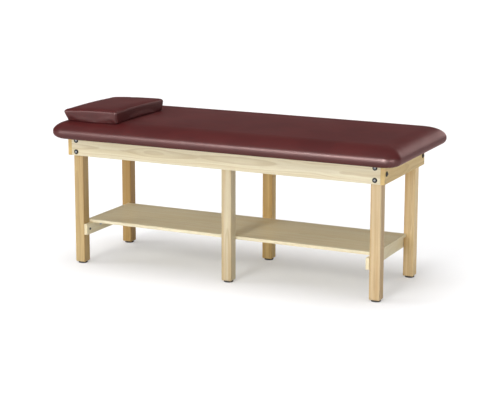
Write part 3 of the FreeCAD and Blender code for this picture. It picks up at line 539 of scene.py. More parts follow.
@dataclass(frozen=True)
class WoodFinish:
    """Clear satin lacquer on one board.

    Args:
        timber: the kind of timber.
        grain: how the board was cut.
        pith_depth: from the board's middle to the pith, through its thickness.
        pith_aside: from the board's middle to the pith, across its face.
        seed: sets this board's own figure.
        edge_radius: how far in from an edge, outer or in a groove where boards meet, the colour is darkened.
        edge_shade_share: how much darker it is there: painted shade, made for the dark line in the grooves,
            that darkens outer edges too.
        shine: how much light the lacquer mirrors.
        bump: how much of the relief of the grain shows.
        relief: how deep that relief is.
    """

    timber: Timber
    grain: Grain
    pith_depth: float
    pith_aside: float
    seed: float
    edge_radius: float = 0.0016
    edge_shade_share: float = 0.45
    shine: float = 0.25
    bump: float = 0.25
    relief: float = 0.0004

    def material(self, node: str) -> bpy.types.Material:
        """Makes the board's material, centred on the board.

        Args:
            node: the board's node.

        Returns:
            The material.
        """
        made, w, shader, coordinates = new_material(f"{node}_wood")
        low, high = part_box(node)
        centring = {"Vector": coordinates.outputs["Object"], "Location": -(low + high) / 2}
        place = self.in_grain_order(w, w.node("ShaderNodeMapping", centring).outputs[0])
        facing = self.in_grain_order(w, coordinates.outputs["Normal"])
        timber = self.timber
        grain = BOARD_GRAIN.place(w, {
            "Place": place, "Facing": facing, "Pale": timber.pale, "Tan": timber.tan, "Line": timber.line,
            "Pith Depth": self.pith_depth, "Pith Aside": self.pith_aside, "Ring Width": timber.ring_width,
            "Wander": timber.wander, "Lines": timber.lines, "Streaks": timber.streaks, "Seed": self.seed,
        })
        # painted shade: darker along edges and in the grooves where boards meet
        edge = EASED_EDGE.place(w, {"Radius": self.edge_radius})
        rim = w.math("MULTIPLY", edge.outputs["Edge"], self.edge_shade_share)
        w.put(shader.inputs["Base Color"], w.mix(rim, grain.outputs["Color"], timber.line))
        w.put(shader.inputs["Roughness"], grain.outputs["Roughness"])
        shader.inputs["Specular IOR Level"].default_value = self.shine
        add_bump(w, shader, grain.outputs["Height"], self.bump, self.relief)
        return made

    def in_grain_order(self, w: Wiring, vector: bpy.types.NodeSocket) -> bpy.types.NodeSocket:
        """Turns a vector so that its first part runs along the grain.

        Args:
            w: the material's wiring.
            vector: the vector in the object's own axes.

        Returns:
            The vector along the grain, through the thickness and across the face.
        """
        parts = w.node("ShaderNodeSeparateXYZ", {"Vector": vector}).outputs
        ordered = dict(zip("XYZ", (parts[axis] for axis in self.grain.value)))
        return w.node("ShaderNodeCombineXYZ", ordered).outputs[0]


@dataclass(frozen=True)
class VinylFinish:
    """Pebbled upholstery vinyl, with painted shade in the creases where a piece marks its seams.

    Args:
        colour: the pigment.
        deep: the darker pigment of the slow tone, and the colour of the painted shade in the seams.
        gloss_tint: colour of what it mirrors.
        gloss: share of light that it mirrors, seen square on.
        edge_gloss: how much more it mirrors at a glancing angle.
        roughness: how blurred the mirrored light is.
        pebble: size of the pressed grain.
        seam_attribute: the attribute that marks seams.
        tone_share: how much of the slow tone shows.
        seam_shade_share: how much painted shade darkens a seam's crease.
        edge_power: how closely the glancing gloss keeps to the outline.
        bump: how much of the pebbles' relief shows.
        relief: how deep that relief is.
    """

    colour: Colour
    deep: Colour
    gloss_tint: Colour
    gloss: float
    edge_gloss: float
    roughness: float
    pebble: float
    seam_attribute: str = "seam"
    tone_share: float = 0.6
    seam_shade_share: float = 0.6
    edge_power: float = 5.0
    bump: float = 0.2
    relief: float = 0.0003

    def material(self, name: str) -> bpy.types.Material:
        """Makes the material.

        Args:
            name: its name.

        Returns:
            The material.
        """
        made, w, shader, coordinates = new_material(name)
        hide = PEBBLED_HIDE.place(w, {"Place": coordinates.outputs["Object"], "Pebble": self.pebble})
        seam = w.node("ShaderNodeAttribute", attribute_name=self.seam_attribute).outputs["Fac"]
        colour = w.mix(w.math("MULTIPLY", hide.outputs["Tone"], self.tone_share), self.colour, self.deep)
        # painted shade in the seams' creases
        colour = w.mix(w.math("MULTIPLY", seam, self.seam_shade_share), colour, self.deep)
        w.put(shader.inputs["Base Color"], colour)
        shader.inputs["Roughness"].default_value = 1.0
        shader.inputs["Specular IOR Level"].default_value = 0.0
        rough = w.math("ADD", hide.outputs["Gloss"], self.roughness)
        polish = w.node("ShaderNodeBsdfGlossy", {"Color": self.gloss_tint, "Roughness": rough})
        for layer in (shader, polish):
            add_bump(w, layer, hide.outputs["Height"], self.bump, self.relief)
        facing = w.node("ShaderNodeLayerWeight", {"Blend": 0.5}).outputs["Facing"]
        share = w.math("MULTIPLY_ADD", w.math("POWER", facing, self.edge_power), self.edge_gloss, self.gloss)
        mixed = w.node("ShaderNodeMixShader", {"Fac": share})
        w.put(mixed.inputs[1], shader.outputs[0])
        w.put(mixed.inputs[2], polish.outputs[0])
        w.put(made.node_tree.get_output_node("ALL").inputs["Surface"], mixed.outputs[0])
        return made


@dataclass(frozen=True)
class MetalFinish:
    """Plated or painted metal: a little cloudy, brighter where its edges are rubbed.

    Args:
        colour: its colour.
        rubbed: its colour where it is rubbed.
        metallic: 1 for bare metal, 0 for paint or plastic.
        roughness: how blurred the mirrored light is, where it is smoothest.
        shine: how much light paint or plastic mirrors.
        size: size of the cloudy patches.
        rub_radius: how far in from an edge it is rubbed.
        cloud_share: how much brighter the patches are.
        rub_share: how much brighter the edges are.
        cloud_blur: how much rougher the patches are.
        bump: how much of the tooth shows.
        relief: how deep the tooth is.
    """

    colour: Colour
    rubbed: Colour
    metallic: float
    roughness: float
    shine: float = 0.5
    size: float = 0.006
    rub_radius: float = 0.0007
    cloud_share: float = 0.25
    rub_share: float = 0.4
    cloud_blur: float = 0.1
    bump: float = 0.15
    relief: float = 0.0001

    def material(self, name: str) -> bpy.types.Material:
        """Makes the material.

        Args:
            name: its name.

        Returns:
            The material.
        """
        made, w, shader, coordinates = new_material(name)
        surface = FINE_SURFACE.place(w, {"Place": coordinates.outputs["Object"], "Size": self.size})
        edge = EASED_EDGE.place(w, {"Radius": self.rub_radius})
        rub = w.math("MULTIPLY", edge.outputs["Edge"], self.rub_share)
        share = w.math("MULTIPLY_ADD", surface.outputs["Tone"], self.cloud_share, rub)
        w.put(shader.inputs["Base Color"], w.mix(share, self.colour, self.rubbed))
        roughest = self.roughness + self.cloud_blur
        rough = w.between(surface.outputs["Tone"], 0.0, 1.0, self.roughness, roughest)
        w.put(shader.inputs["Roughness"], rough)
        shader.inputs["Metallic"].default_value = self.metallic
        shader.inputs["Specular IOR Level"].default_value = self.shine
        add_bump(w, shader, surface.outputs["Height"], self.bump, self.relief)
        return made


FRAME_TIMBER = Timber(
    pale=(0.80, 0.73, 0.53), tan=(0.69, 0.59, 0.37), line=(0.54, 0.42, 0.23),
    ring_width=0.0065, wander=0.045, lines=0.62, streaks=0.7,
)
LEG_TIMBER = Timber(
    pale=(0.74, 0.58, 0.35), tan=(0.60, 0.40, 0.19), line=(0.45, 0.28, 0.13),
    ring_width=0.0065, wander=0.028, lines=0.45, streaks=0.9,
)
# painted light: the shelf's and stretchers' colours are raised above the wood's own to make up for the shade
# under the top
SHELF_TIMBER_PAINTED_LIGHT = Timber(
    pale=(0.86, 0.79, 0.57), tan=(0.80, 0.68, 0.42), line=(0.64, 0.50, 0.29),
    ring_width=0.011, wander=0.09, lines=0.3, streaks=0.55,
)
HIDDEN_TIMBER = Timber(
    pale=(0.70, 0.58, 0.38), tan=(0.60, 0.46, 0.27), line=(0.42, 0.30, 0.17),
    ring_width=0.006, wander=0.05, lines=0.5, streaks=0.7,
)
BURGUNDY_VINYL = VinylFinish(
    colour=(0.067, 0.0075, 0.0078), deep=(0.047, 0.0050, 0.0058), gloss_tint=(1.0, 0.77, 0.74),
    gloss=0.054, edge_gloss=0.22, roughness=0.33, pebble=0.0013,
)
BRIGHT_STEEL = MetalFinish(
    colour=(0.15, 0.155, 0.165), rubbed=(0.26, 0.265, 0.28), metallic=1.0, roughness=0.36,
)
DARK_STEEL = MetalFinish(
    colour=(0.045, 0.042, 0.040), rubbed=(0.16, 0.15, 0.14), metallic=0.8, roughness=0.42,
)
SMALL_STEEL = MetalFinish(
    colour=(0.46, 0.46, 0.47), rubbed=(0.66, 0.66, 0.68), metallic=1.0, roughness=0.36,
)
BLACK_PAINT = MetalFinish(
    colour=(0.006, 0.007, 0.007), rubbed=(0.02, 0.02, 0.02), metallic=0.0, roughness=0.5, shine=0.12,
)
DARK_PLASTIC = MetalFinish(
    colour=(0.026, 0.022, 0.019), rubbed=(0.05, 0.04, 0.03), metallic=0.0, roughness=0.5, shine=0.3,
)


def dress(nodes: Iterable[str], material: bpy.types.Material) -> None:
    """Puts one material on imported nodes.

    Args:
        nodes: the nodes' names.
        material: their material.
    """
    for name in nodes:
        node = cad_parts[name]
        if not node.material_slots:
            node.data.materials.append(material)
        for slot in node.material_slots:
            slot.material = material
        log.info("%s wears %s", name, material.name)


@dataclass(frozen=True)
class Plan:
    """A rounded rectangle seen from above, cut into four sides that meet at the middles of its corners.

    Args:
        centre: its middle, in X and Y.
        half_length: half its size along X.
        half_width: half its size along Y.
        radius: its corner radius.
        length_steps: segments of a straight stretch along X.
        width_steps: segments of a straight stretch along Y.
        arc_steps: segments of half a corner.
        corner_share: how much of an inset the corner radius gives up.
        least_radius: the smallest corner radius of a plan that is drawn in.
    """

    centre: tuple[float, float]
    half_length: float
    half_width: float
    radius: float
    length_steps: int
    width_steps: int
    arc_steps: int
    corner_share: float = 0.35
    least_radius: float = 0.006
    HALVINGS: ClassVar[int] = 20

    def inset(self, amount: float) -> "Plan":
        """Returns the plan drawn in by an amount on every side."""
        radius = max(self.radius - self.corner_share * amount, self.least_radius)
        return replace(
            self, half_length=self.half_length - amount, half_width=self.half_width - amount, radius=radius
        )

    def depth(self, place: Array) -> Array:
        """Works out how far in from the outside points lie.

        The depth is the inset of the plan whose outline passes through the point. It is found by
        halving: a point that lies inside the plan drawn in by the middle depth is deeper.

        Args:
            place: points in X and Y, one row each.

        Returns:
            Their depths, 0 outside the plan.
        """
        shallow = np.zeros(len(place))
        deep = np.full(len(place), self.half_width)
        for _ in range(self.HALVINGS):
            middle = (shallow + deep) / 2
            radius = np.maximum(self.radius - self.corner_share * middle, self.least_radius)
            half = np.array([self.half_length, self.half_width]) - (middle + radius)[:, None]
            past = np.abs(place - self.centre) - half
            beyond = np.linalg.norm(np.maximum(past, 0.0), axis=1) + np.minimum(past.max(axis=1), 0.0)
            inside = beyond < radius
            shallow, deep = np.where(inside, middle, shallow), np.where(inside, deep, middle)
        return shallow

    def side(self, turn: int) -> Array:
        """Works out one side: half a corner's arc, the straight stretch, and half the next arc.

        Args:
            turn: quarter turns from the side that faces -Y, counter-clockwise.

        Returns:
            Its points in X and Y, one row each.
        """
        reach, other, steps = (
            (self.half_width, self.half_length, self.length_steps)
            if turn % 2 == 0
            else (self.half_length, self.half_width, self.width_steps)
        )
        straight = other - self.radius
        angle = np.linspace(0.0, math.pi / 4, self.arc_steps + 1)
        arc = np.stack(
            [straight + self.radius * np.sin(angle), reach - self.radius * (1.0 - np.cos(angle))], 1
        )
        line = np.stack([np.linspace(-straight, straight, steps + 1), np.full(steps + 1, reach)], 1)
        first = (arc * (-1.0, 1.0))[::-1]
        local = np.concatenate([first[:-1], line, arc[1:]])
        along = np.array([math.cos(turn * math.pi / 2), math.sin(turn * math.pi / 2)])
        outward = np.array([along[1], -along[0]])
        return np.array(self.centre) + local[:, :1] * along + local[:, 1:] * outward

    def outline(self) -> Array:
        """Returns the points all round, counter-clockwise from the corner between -X and -Y."""
        return np.concatenate([self.side(turn)[:-1] for turn in range(4)])

    def interior(self) -> Array:
        """Fills the plan with a grid.

        Each point is the mix of the two points that face each other on the long sides, plus the
        mix of the two on the short sides, less the mix of the four corners.

        Returns:
            The grid's points, by steps along X, steps along Y, and X or Y.
        """
        front, foot = self.side(0), self.side(1)
        back, head = self.side(2)[::-1], self.side(3)[::-1]
        u = np.linspace(0.0, 1.0, len(front))[:, None, None]
        v = np.linspace(0.0, 1.0, len(foot))[None, :, None]
        between_long = (1 - v) * front[:, None] + v * back[:, None]
        between_short = (1 - u) * head[None, :] + u * foot[None, :]
        corners = (
            (1 - u) * (1 - v) * front[0] + u * (1 - v) * front[-1] + (1 - u) * v * back[0] + u * v * back[-1]
        )
        return between_long + between_short - corners


@dataclass
class Shell:
    """A surface made of a grid and of rings round it, each ring with as many points as the grid's rim.

    Args:
        plan: not used.
    """

    plan: Plan
    points: list[Array] = field(default_factory=list)
    faces: list[Array] = field(default_factory=list)
    last_ring: Array | None = None

    def count(self) -> int:
        """Returns how many points there are so far."""
        return sum(len(part) for part in self.points)

    def add_grid(self, plan: Plan, height: Callable[[Array], Array], facing_up: bool) -> None:
        """Adds a grid that fills a plan.

        Args:
            plan: the plan that it fills.
            height: gives Z for points in X and Y.
            facing_up: whether its faces look up rather than down.
        """
        grid = plan.interior()
        rows, columns = grid.shape[:2]
        start = self.count()
        index = start + np.arange(rows * columns).reshape(rows, columns)
        flat = grid.reshape(-1, 2)
        rim = np.concatenate([index[:-1, 0], index[-1, :-1], index[:0:-1, -1], index[0, :0:-1]])
        quads = np.stack([index[:-1, :-1], index[1:, :-1], index[1:, 1:], index[:-1, 1:]], -1).reshape(-1, 4)
        if self.last_ring is not None:
            keep = np.setdiff1d(index.ravel(), rim)
            number = np.empty(start + rows * columns, int)
            number[keep] = start + np.arange(len(keep))
            number[rim] = self.last_ring
            self.points.append(np.column_stack([flat[keep - start], height(flat[keep - start])]))
            self.faces.append(number[quads] if facing_up else number[quads][:, ::-1])
            return
        self.points.append(np.column_stack([flat, height(flat)]))
        self.faces.append(quads if facing_up else quads[:, ::-1])
        self.last_ring = rim

    def add_ring(self, ring: Array) -> None:
        """Adds a ring of points and joins it to the one before.

        Args:
            ring: its points in X, Y and Z, in the order of the plan's outline.
        """
        start = self.count()
        index = start + np.arange(len(ring))
        before = self.last_ring
        self.points.append(ring)
        self.faces.append(np.stack([before, index, np.roll(index, -1), np.roll(before, -1)], 1))
        self.last_ring = index

    def piece(self, name: str, cap: bool = False) -> bpy.types.Object:
        """Makes the mesh object.

        Args:
            name: the piece's name.
            cap: whether one last flat face closes the last ring.

        Returns:
            The object, at the origin.
        """
        faces = np.concatenate(self.faces).tolist()
        if cap:
            faces.append(self.last_ring.tolist())
        mesh = bpy.data.meshes.new(name)
        mesh.from_pydata(np.concatenate(self.points).tolist(), [], faces)
        mesh.update()
        mesh.shade_smooth()
        made = bpy.data.objects.new(name, mesh)
        bpy.context.scene.collection.objects.link(made)
        return made


def mesh_points(mesh: bpy.types.Mesh) -> Array:
    """Reads the points of a mesh.

    Args:
        mesh: the mesh.

    Returns:
        Its points, one row each.
    """
    read = np.empty(len(mesh.vertices) * 3, np.float32)
    mesh.vertices.foreach_get("co", read)
    return read.reshape(-1, 3).astype(float)


def set_points(mesh: bpy.types.Mesh, points: Array) -> None:
    """Writes the points of a mesh.

    Args:
        mesh: the mesh.
        points: its new points, one row each.
    """
    mesh.vertices.foreach_set("co", points.astype(np.float32).ravel())
    mesh.update()


@dataclass(frozen=True)
class Stuffing:
    """How hard a cover is blown up from inside by a cloth simulation.

    Args:
        pressure: the push on the cover.
        most: how far a point may move.
        frames: how many frames are stepped.
        stiffness: how hard the cover is to stretch.
    """

    pressure: float
    most: float
    frames: int = 20
    stiffness: float = 15.0

    def fill(self, piece: bpy.types.Object, held: Array) -> None:
        """Blows up a piece and keeps the result in its mesh.

        Each point's movement is kept in direction and shortened to the most that it may be, by a
        smooth limit: most * tanh(length / most).

        Args:
            piece: the piece.
            held: how firmly each point stays where it is, from 0 to 1.
        """
        scene = bpy.context.scene
        group = piece.vertex_groups.new(name="held")
        for level in np.unique(held[held > 0.0]):
            group.add(np.flatnonzero(held == level).tolist(), float(level), "REPLACE")
        modifier = piece.modifiers.new("Stuffing", "CLOTH")
        settings = modifier.settings
        settings.quality = 4
        settings.mass = 0.25
        settings.tension_stiffness = self.stiffness
        settings.compression_stiffness = self.stiffness
        settings.shear_stiffness = self.stiffness / 2
        settings.use_pressure = True
        settings.uniform_pressure_force = self.pressure
        settings.vertex_group_mass = group.name
        settings.effector_weights.gravity = 0.0
        modifier.collision_settings.use_collision = False
        modifier.point_cache.frame_start = 1
        modifier.point_cache.frame_end = self.frames
        for step in range(1, self.frames + 1):
            scene.frame_set(step)
        shown = piece.evaluated_get(bpy.context.evaluated_depsgraph_get())
        before, after = mesh_points(piece.data), mesh_points(shown.data)
        moved = after - before
        length = np.linalg.norm(moved, axis=1, keepdims=True)
        moved *= self.most * np.tanh(length / self.most) / np.maximum(length, 1e-9)
        piece.modifiers.remove(modifier)
        piece.vertex_groups.remove(group)
        scene.frame_set(1)
        set_points(piece.data, before + moved)
        log.info("%s swelled by up to %.1f mm", piece.name, np.linalg.norm(moved, axis=1).max() / MILLIMETRE)


@dataclass(frozen=True)
class Rounding:
    """An elliptical rounding.

    Args:
        reach: how far it reaches across.
        rise: how high it rises.
    """

    reach: float
    rise: float

    def across(self, angle: Array) -> Array:
        """Returns insets from the widest line at angle 0 to the full reach at a quarter turn."""
        return self.reach * (1.0 - np.cos(angle))

    def above(self, angle: Array) -> Array:
        """Returns heights from the widest line."""
        return self.rise * np.sin(angle)


@dataclass
class PaddedTop:
    """The padded top: vinyl drawn over foam and a board, and turned in under it.

    Args:
        corner_radius: corners, seen from above.
        upper: rounded upper edge.
        lower: rounded lower edge.
        crown: rise from the rounded edge to the middle.
        end_hem: vinyl turned in under the ends, from the outside.
        side_hem: vinyl turned in under the long sides, from the outside.
        board_inset: from the outside of the vinyl to the board.
        board_gap: room left round the board.
        pull: depth of the small hollows where staples draw the lower edge in.
        pull_spacing: distance from one such hollow to the next.
        pleat: depth of the gathers under a corner.
        pleats: gathers under one corner.
        upper_steps: rings round the upper edge.
        lower_steps: steps round the lower edge.
        hem_steps: rings from there to the hem.
        least_slant: slant under which an outline is a straight side.
    """

    corner_radius: float = 0.075
    upper: Rounding = Rounding(reach=0.120, rise=0.058)
    lower: Rounding = Rounding(reach=0.046, rise=0.034)
    crown: float = 0.006
    end_hem: float = 0.050
    side_hem: float = 0.085
    board_inset: float = 0.0478
    board_gap: float = 0.0003
    pull: float = 0.0007
    pull_spacing: float = 0.062
    pleat: float = 0.0022
    pleats: int = 7
    upper_steps: int = 14
    lower_steps: int = 9
    hem_steps: int = 5
    least_slant: float = 1e-3

    def __post_init__(self) -> None:
        """Reads the box that the top fills."""
        low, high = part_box("top_cover")
        self.bottom = low.z
        self.shoulder = high.z - self.crown
        self.plan = Plan(
            ((low.x + high.x) / 2, (low.y + high.y) / 2), (high.x - low.x) / 2, (high.y - low.y) / 2,
            self.corner_radius, length_steps=92, width_steps=32, arc_steps=14,
        )

    def crowned(self, place: Array, height: Array | float) -> Array:
        """Lifts points by the crown.

        The lift is crown * (1 - x**2) * (1 - y**2), with x and y as shares of the half sizes, times
        the point's height as a share of the shoulder's.

        Args:
            place: points in X and Y.
            height: their heights without the crown.

        Returns:
            Their heights.
        """
        across = (place - self.plan.centre) / (self.plan.half_length, self.plan.half_width)
        share = (height - self.bottom) / (self.shoulder - self.bottom)
        return height + share * self.crown * np.prod(1.0 - across**2, axis=1)

    def surface(self, place: Array) -> Array:
        """Works out the height of the top's upper side.

        Args:
            place: points in X and Y, within the upper rounding or inside it.

        Returns:
            Their heights.
        """
        from_rim = np.clip(1.0 - self.plan.depth(place) / self.upper.reach, 0.0, 1.0)
        return self.crowned(place, self.shoulder - self.upper.rise * (1.0 - np.sqrt(1.0 - from_rim**2)))

    def build(self) -> bpy.types.Object:
        """Builds the padded top as one closed piece with a pocket for its board.

        The rings follow the plan drawn in by the ellipse of the upper edge, then by the ellipse of
        the lower edge, then in to the hem, and from there over the hem and round the board.

        Returns:
            The piece.
        """
        rim = self.plan.inset(self.upper.reach)
        shell = Shell(rim)
        shell.add_grid(rim, lambda place: self.crowned(place, self.shoulder), facing_up=True)
        widest = self.shoulder - self.upper.rise
        for angle in np.linspace(math.pi / 2, 0.0, self.upper_steps + 1)[1:]:
            ring = self.plan.inset(self.upper.across(angle)).outline()
            shell.add_ring(np.column_stack([ring, self.crowned(ring, widest + self.upper.above(angle))]))
        turn = self.bottom + self.lower.rise
        for angle in np.linspace(0.0, math.pi / 2, self.lower_steps + 1):
            ring = self.plan.inset(self.lower.across(angle)).outline()
            level = np.full(len(ring), turn - self.lower.above(angle))
            shell.add_ring(self.gathered(np.column_stack([ring, level]), math.sin(angle)))
        for share in np.linspace(0.0, 1.0, self.hem_steps + 1)[1:]:
            ring = (1.0 - share) * self.plan.inset(self.lower.reach).outline() + share * self.hem().outline()
            level = np.full(len(ring), self.bottom)
            shell.add_ring(self.gathered(np.column_stack([ring, level]), 1.0 - share))
        self.line_pocket(shell)
        return shell.piece("padded_top", cap=True)

    def hem(self) -> Plan:
        """Returns the plan of the vinyl's edge under the board."""
        return replace(
            self.plan, half_length=self.plan.half_length - self.end_hem,
            half_width=self.plan.half_width - self.side_hem, radius=self.corner_radius - self.end_hem,
        )

    def gathered(self, ring: Array, share: float) -> Array:
        """Draws a ring in at the staples and folds it in gathers round the corners.

        The staples draw it in by pull * (0.5 + 0.5 * cos(2 pi s / spacing)) with s measured along the
        straight sides. The gathers move it out and in by pleat * sin(4 pleats a) round a corner, a
        being the angle of the outline, faded out towards both ends of the corner.

        Args:
            ring: its points.
            share: how much of this shows.

        Returns:
            The moved points.
        """
        along = np.roll(ring[:, :2], -1, axis=0) - np.roll(ring[:, :2], 1, axis=0)
        along /= np.linalg.norm(along, axis=1, keepdims=True)
        outward = np.stack([along[:, 1], -along[:, 0]], 1)
        angle = np.arctan2(outward[:, 1], outward[:, 0])
        slant = np.abs(np.sin(2.0 * angle))
        length = (ring[:, :2] * np.abs(along)).sum(axis=1)
        straight = slant < self.least_slant
        drawn = -self.pull * (0.5 + 0.5 * np.cos(2.0 * math.pi * length / self.pull_spacing)) * straight
        folded = self.pleat * np.sin(4.0 * self.pleats * angle) * slant
        moved = ring.copy()
        moved[:, :2] += outward * (share * (drawn + folded))[:, None]
        return moved

    def line_pocket(self, shell: Shell) -> None:
        """Adds the inside of the form: over the hem's edge, round the board's edge and over its top.

        Args:
            shell: the surface, whose last ring is the hem's edge.
        """
        deck_low, deck_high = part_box("top_deck")
        room = self.plan.inset(self.board_inset - self.board_gap)
        floor, roof = deck_low.z - self.board_gap, deck_high.z + self.board_gap
        for plan, level in ((self.hem(), floor), (room, floor), (room, roof)):
            ring = plan.outline()
            shell.add_ring(np.column_stack([ring, np.full(len(ring), level)]))

    def finish(self, piece: bpy.types.Object) -> None:
        """Args:
            piece: the closed form.
        """
        piece.modifiers.new("Smooth", "SUBSURF").levels = 1
        piece.data.materials.append(BURGUNDY_VINYL.material("top_vinyl"))
        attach(piece, Body.TABLE.value)
        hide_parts("top_cover", "top_foam")
        log.info("%s: %d faces before smoothing", piece.name, len(piece.data.polygons))


@dataclass(frozen=True)
class Margins:
    """How far a plan is drawn in from each side of a box.

    Args:
        head: from the side at the head end.
        foot: from the side at the foot end.
        front: from the front side.
        back: from the back side.
        corner_radius: the plan's corner radius.
    """

    head: float
    foot: float
    front: float
    back: float
    corner_radius: float

    def plan(self, low: Vector, high: Vector, steps: tuple[int, int, int]) -> Plan:
        """Works out the plan inside a box.

        Args:
            low: the box's lowest corner.
            high: its highest corner.
            steps: segments of a straight stretch along X, of one along Y, and of half a corner.

        Returns:
            The plan.
        """
        first = np.array([low.x + self.head, low.y + self.front])
        last = np.array([high.x - self.foot, high.y - self.back])
        middle, half = (first + last) / 2, (last - first) / 2
        return Plan((middle[0], middle[1]), half[0], half[1], self.corner_radius, *steps)


@dataclass
class Pillow:
    """The loose pillow: a box cushion of the same vinyl, sewn up its four corners.

    Its underside follows the padded top that it lies on.

    Args:
        rest: the padded top under it.
        widest: plan of the widest line, near the top.
        base: plan of the underside, which is drawn in further.
        upper: rounded upper edge.
        lower: rounded lower edge.
        edge_lift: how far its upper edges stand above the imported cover.
        slope: rise of its upper side towards the foot end, as the head end lies on the rounded edge.
        corner_drop: how much lower its corners are than the edges between them.
        crown: rise from the edges to the middle.
        lean_power: how the sides curve in from the widest line to the underside.
        swell: how much smaller the form is before it is stuffed.
        rest_gap: air under the pillow.
        seam_depth: how deep a corner's seam is drawn in.
        seam_width: half the width of the hollow along a seam.
        seam_foot: height at which a seam begins and over which it deepens, as shares of the side.
        seam_head: height at which it ends and over which it fades, as shares of the side.
        stuffing: how its cover is blown up.
        steps: segments of its plans: along X, along Y, and of half a corner.
        rings: steps round its upper edge, down its sides and round its lower edge.
    """

    rest: PaddedTop
    widest: Margins = Margins(head=-0.002, foot=-0.006, front=0.001, back=0.020, corner_radius=0.012)
    base: Margins = Margins(head=0.008, foot=-0.005, front=0.016, back=0.028, corner_radius=0.020)
    upper: Rounding = Rounding(reach=0.012, rise=0.012)
    lower: Rounding = Rounding(reach=0.007, rise=0.009)
    edge_lift: float = 0.003
    slope: float = 0.033
    corner_drop: float = 0.007
    crown: float = 0.003
    lean_power: float = 1.2
    swell: float = 0.002
    rest_gap: float = 0.0004
    seam_depth: float = 0.0016
    seam_width: float = 0.0026
    seam_foot: tuple[float, float] = (0.08, 0.1)
    seam_head: tuple[float, float] = (1.02, 0.12)
    stuffing: Stuffing = Stuffing(pressure=4.0, most=0.003)
    steps: tuple[int, int, int] = (44, 74, 5)
    rings: int = 6

    def __post_init__(self) -> None:
        """Reads the box that the pillow fills."""
        low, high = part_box("pillow_cover")
        self.shoulder = high.z + self.edge_lift
        self.plan = self.widest.plan(low, high, self.steps)
        self.base_plan = self.base.plan(low, high, self.steps)

    def crowned(self, place: Array, shoulder: float) -> Array:
        """Works out the height of the pillow's upper side.

        With x and y as shares of the half sizes, the height is the shoulder, plus the slope along X,
        less corner_drop * x**2 * y**2, plus crown * (1 - x**4) * (1 - y**4).

        Args:
            place: points in X and Y.
            shoulder: height of its edges.

        Returns:
            Heights.
        """
        along = place[:, 0] - self.plan.centre[0]
        half = (self.plan.half_length, self.plan.half_width)
        across = np.clip((place - self.plan.centre) / half, -1.0, 1.0)
        dome = self.crown * np.prod(1.0 - across**4, axis=1)
        return shoulder + self.slope * along - self.corner_drop * np.prod(across**2, axis=1) + dome

    def under(self, place: Array) -> Array:
        """Returns the height of the pillow's underside: just above the padded top."""
        return self.rest.surface(place) + self.rest_gap

    def build(self) -> bpy.types.Object:
        """Builds the stuffed form.

        A ring at a share s of the side's height lies s of the way from the widest line down to the
        padded top, and s**lean_power of the way from the widest plan to the smaller plan underneath,
        so that the form follows the crown and the padded top, and its sides curve in.

        Returns:
            The piece.
        """
        outer = self.plan.inset(self.swell)
        shoulder = self.shoulder - self.swell / 2
        rim = outer.inset(self.upper.reach)
        shell = Shell(rim)
        shell.add_grid(rim, lambda place: self.crowned(place, shoulder), facing_up=True)
        for angle in np.linspace(math.pi / 2, 0.0, self.rings + 1)[1:]:
            ring = outer.inset(self.upper.across(angle)).outline()
            down = self.upper.rise - self.upper.above(angle)
            shell.add_ring(np.column_stack([ring, self.crowned(ring, shoulder) - down]))
        small = self.base_plan.inset(self.swell)
        top_ring, low_ring = outer.outline(), small.outline()
        high = self.crowned(top_ring, shoulder) - self.upper.rise
        low = self.under(low_ring) + self.lower.rise
        for share in np.linspace(0.0, 1.0, self.rings + 1)[1:-1]:
            ring = top_ring + (low_ring - top_ring) * share**self.lean_power
            shell.add_ring(np.column_stack([ring, high + (low - high) * share]))
        for angle in np.linspace(0.0, math.pi / 2, self.rings + 1):
            ring = small.inset(self.lower.across(angle)).outline()
            level = self.under(ring) + self.lower.rise - self.lower.above(angle)
            shell.add_ring(np.column_stack([ring, level]))
        held_from = shell.count() - len(shell.last_ring)
        shell.add_grid(small.inset(self.lower.reach), self.under, facing_up=False)
        piece = shell.piece("head_pillow")
        held = np.zeros(len(piece.data.vertices))
        held[held_from:] = 1.0
        self.stuffing.fill(piece, held)
        return piece

    def sew(self, piece: bpy.types.Object) -> None:
        """Presses the four corner seams into the stuffed form.

        A point at a distance s from a corner's line, measured round the outline, moves in by
        depth * exp(-(s / width)**2), and the same bell marks the seam, where the material paints shade
        in the crease. The line runs down the curve of the sides, from the corner of the widest plan to
        that of the underside.

        Args:
            piece: the smoothed piece.
        """
        points = mesh_points(piece.data)
        base = self.under(points[:, :2])
        rise = (points[:, 2] - base) / (self.crowned(points[:, :2], self.shoulder) - base)
        side_top = 1.0 - self.upper.rise / (self.shoulder - base)
        lean = (np.clip(1.0 - rise / side_top, 0.0, 1.0) ** self.lean_power)[:, None]
        high_corner, low_corner = (
            np.array([*plan.centre, plan.half_length - plan.radius, plan.half_width - plan.radius])
            for plan in (self.plan, self.base_plan)
        )
        corner = (1.0 - lean) * high_corner + lean * low_corner
        offset = points[:, :2] - corner[:, :2]
        from_centre = np.abs(offset) - corner[:, 2:]
        outside = from_centre.min(axis=1) > -self.base_plan.radius
        sideways = np.abs(from_centre[:, 0] - from_centre[:, 1]) / math.sqrt(2.0)
        bell = np.exp(-((sideways / self.seam_width) ** 2)) * outside
        foot, foot_fade = self.seam_foot
        head, head_fade = self.seam_head
        bell *= np.clip((rise - foot) / foot_fade, 0.0, 1.0) * np.clip((head - rise) / head_fade, 0.0, 1.0)
        points[:, :2] -= np.sign(offset) * (self.seam_depth * bell / math.sqrt(2.0))[:, None]
        set_points(piece.data, points)
        # the seam attribute is where the vinyl's material paints shade in the crease
        attribute = piece.data.attributes.new("seam", "FLOAT", "POINT")
        attribute.data.foreach_set("value", bell.astype(np.float32))

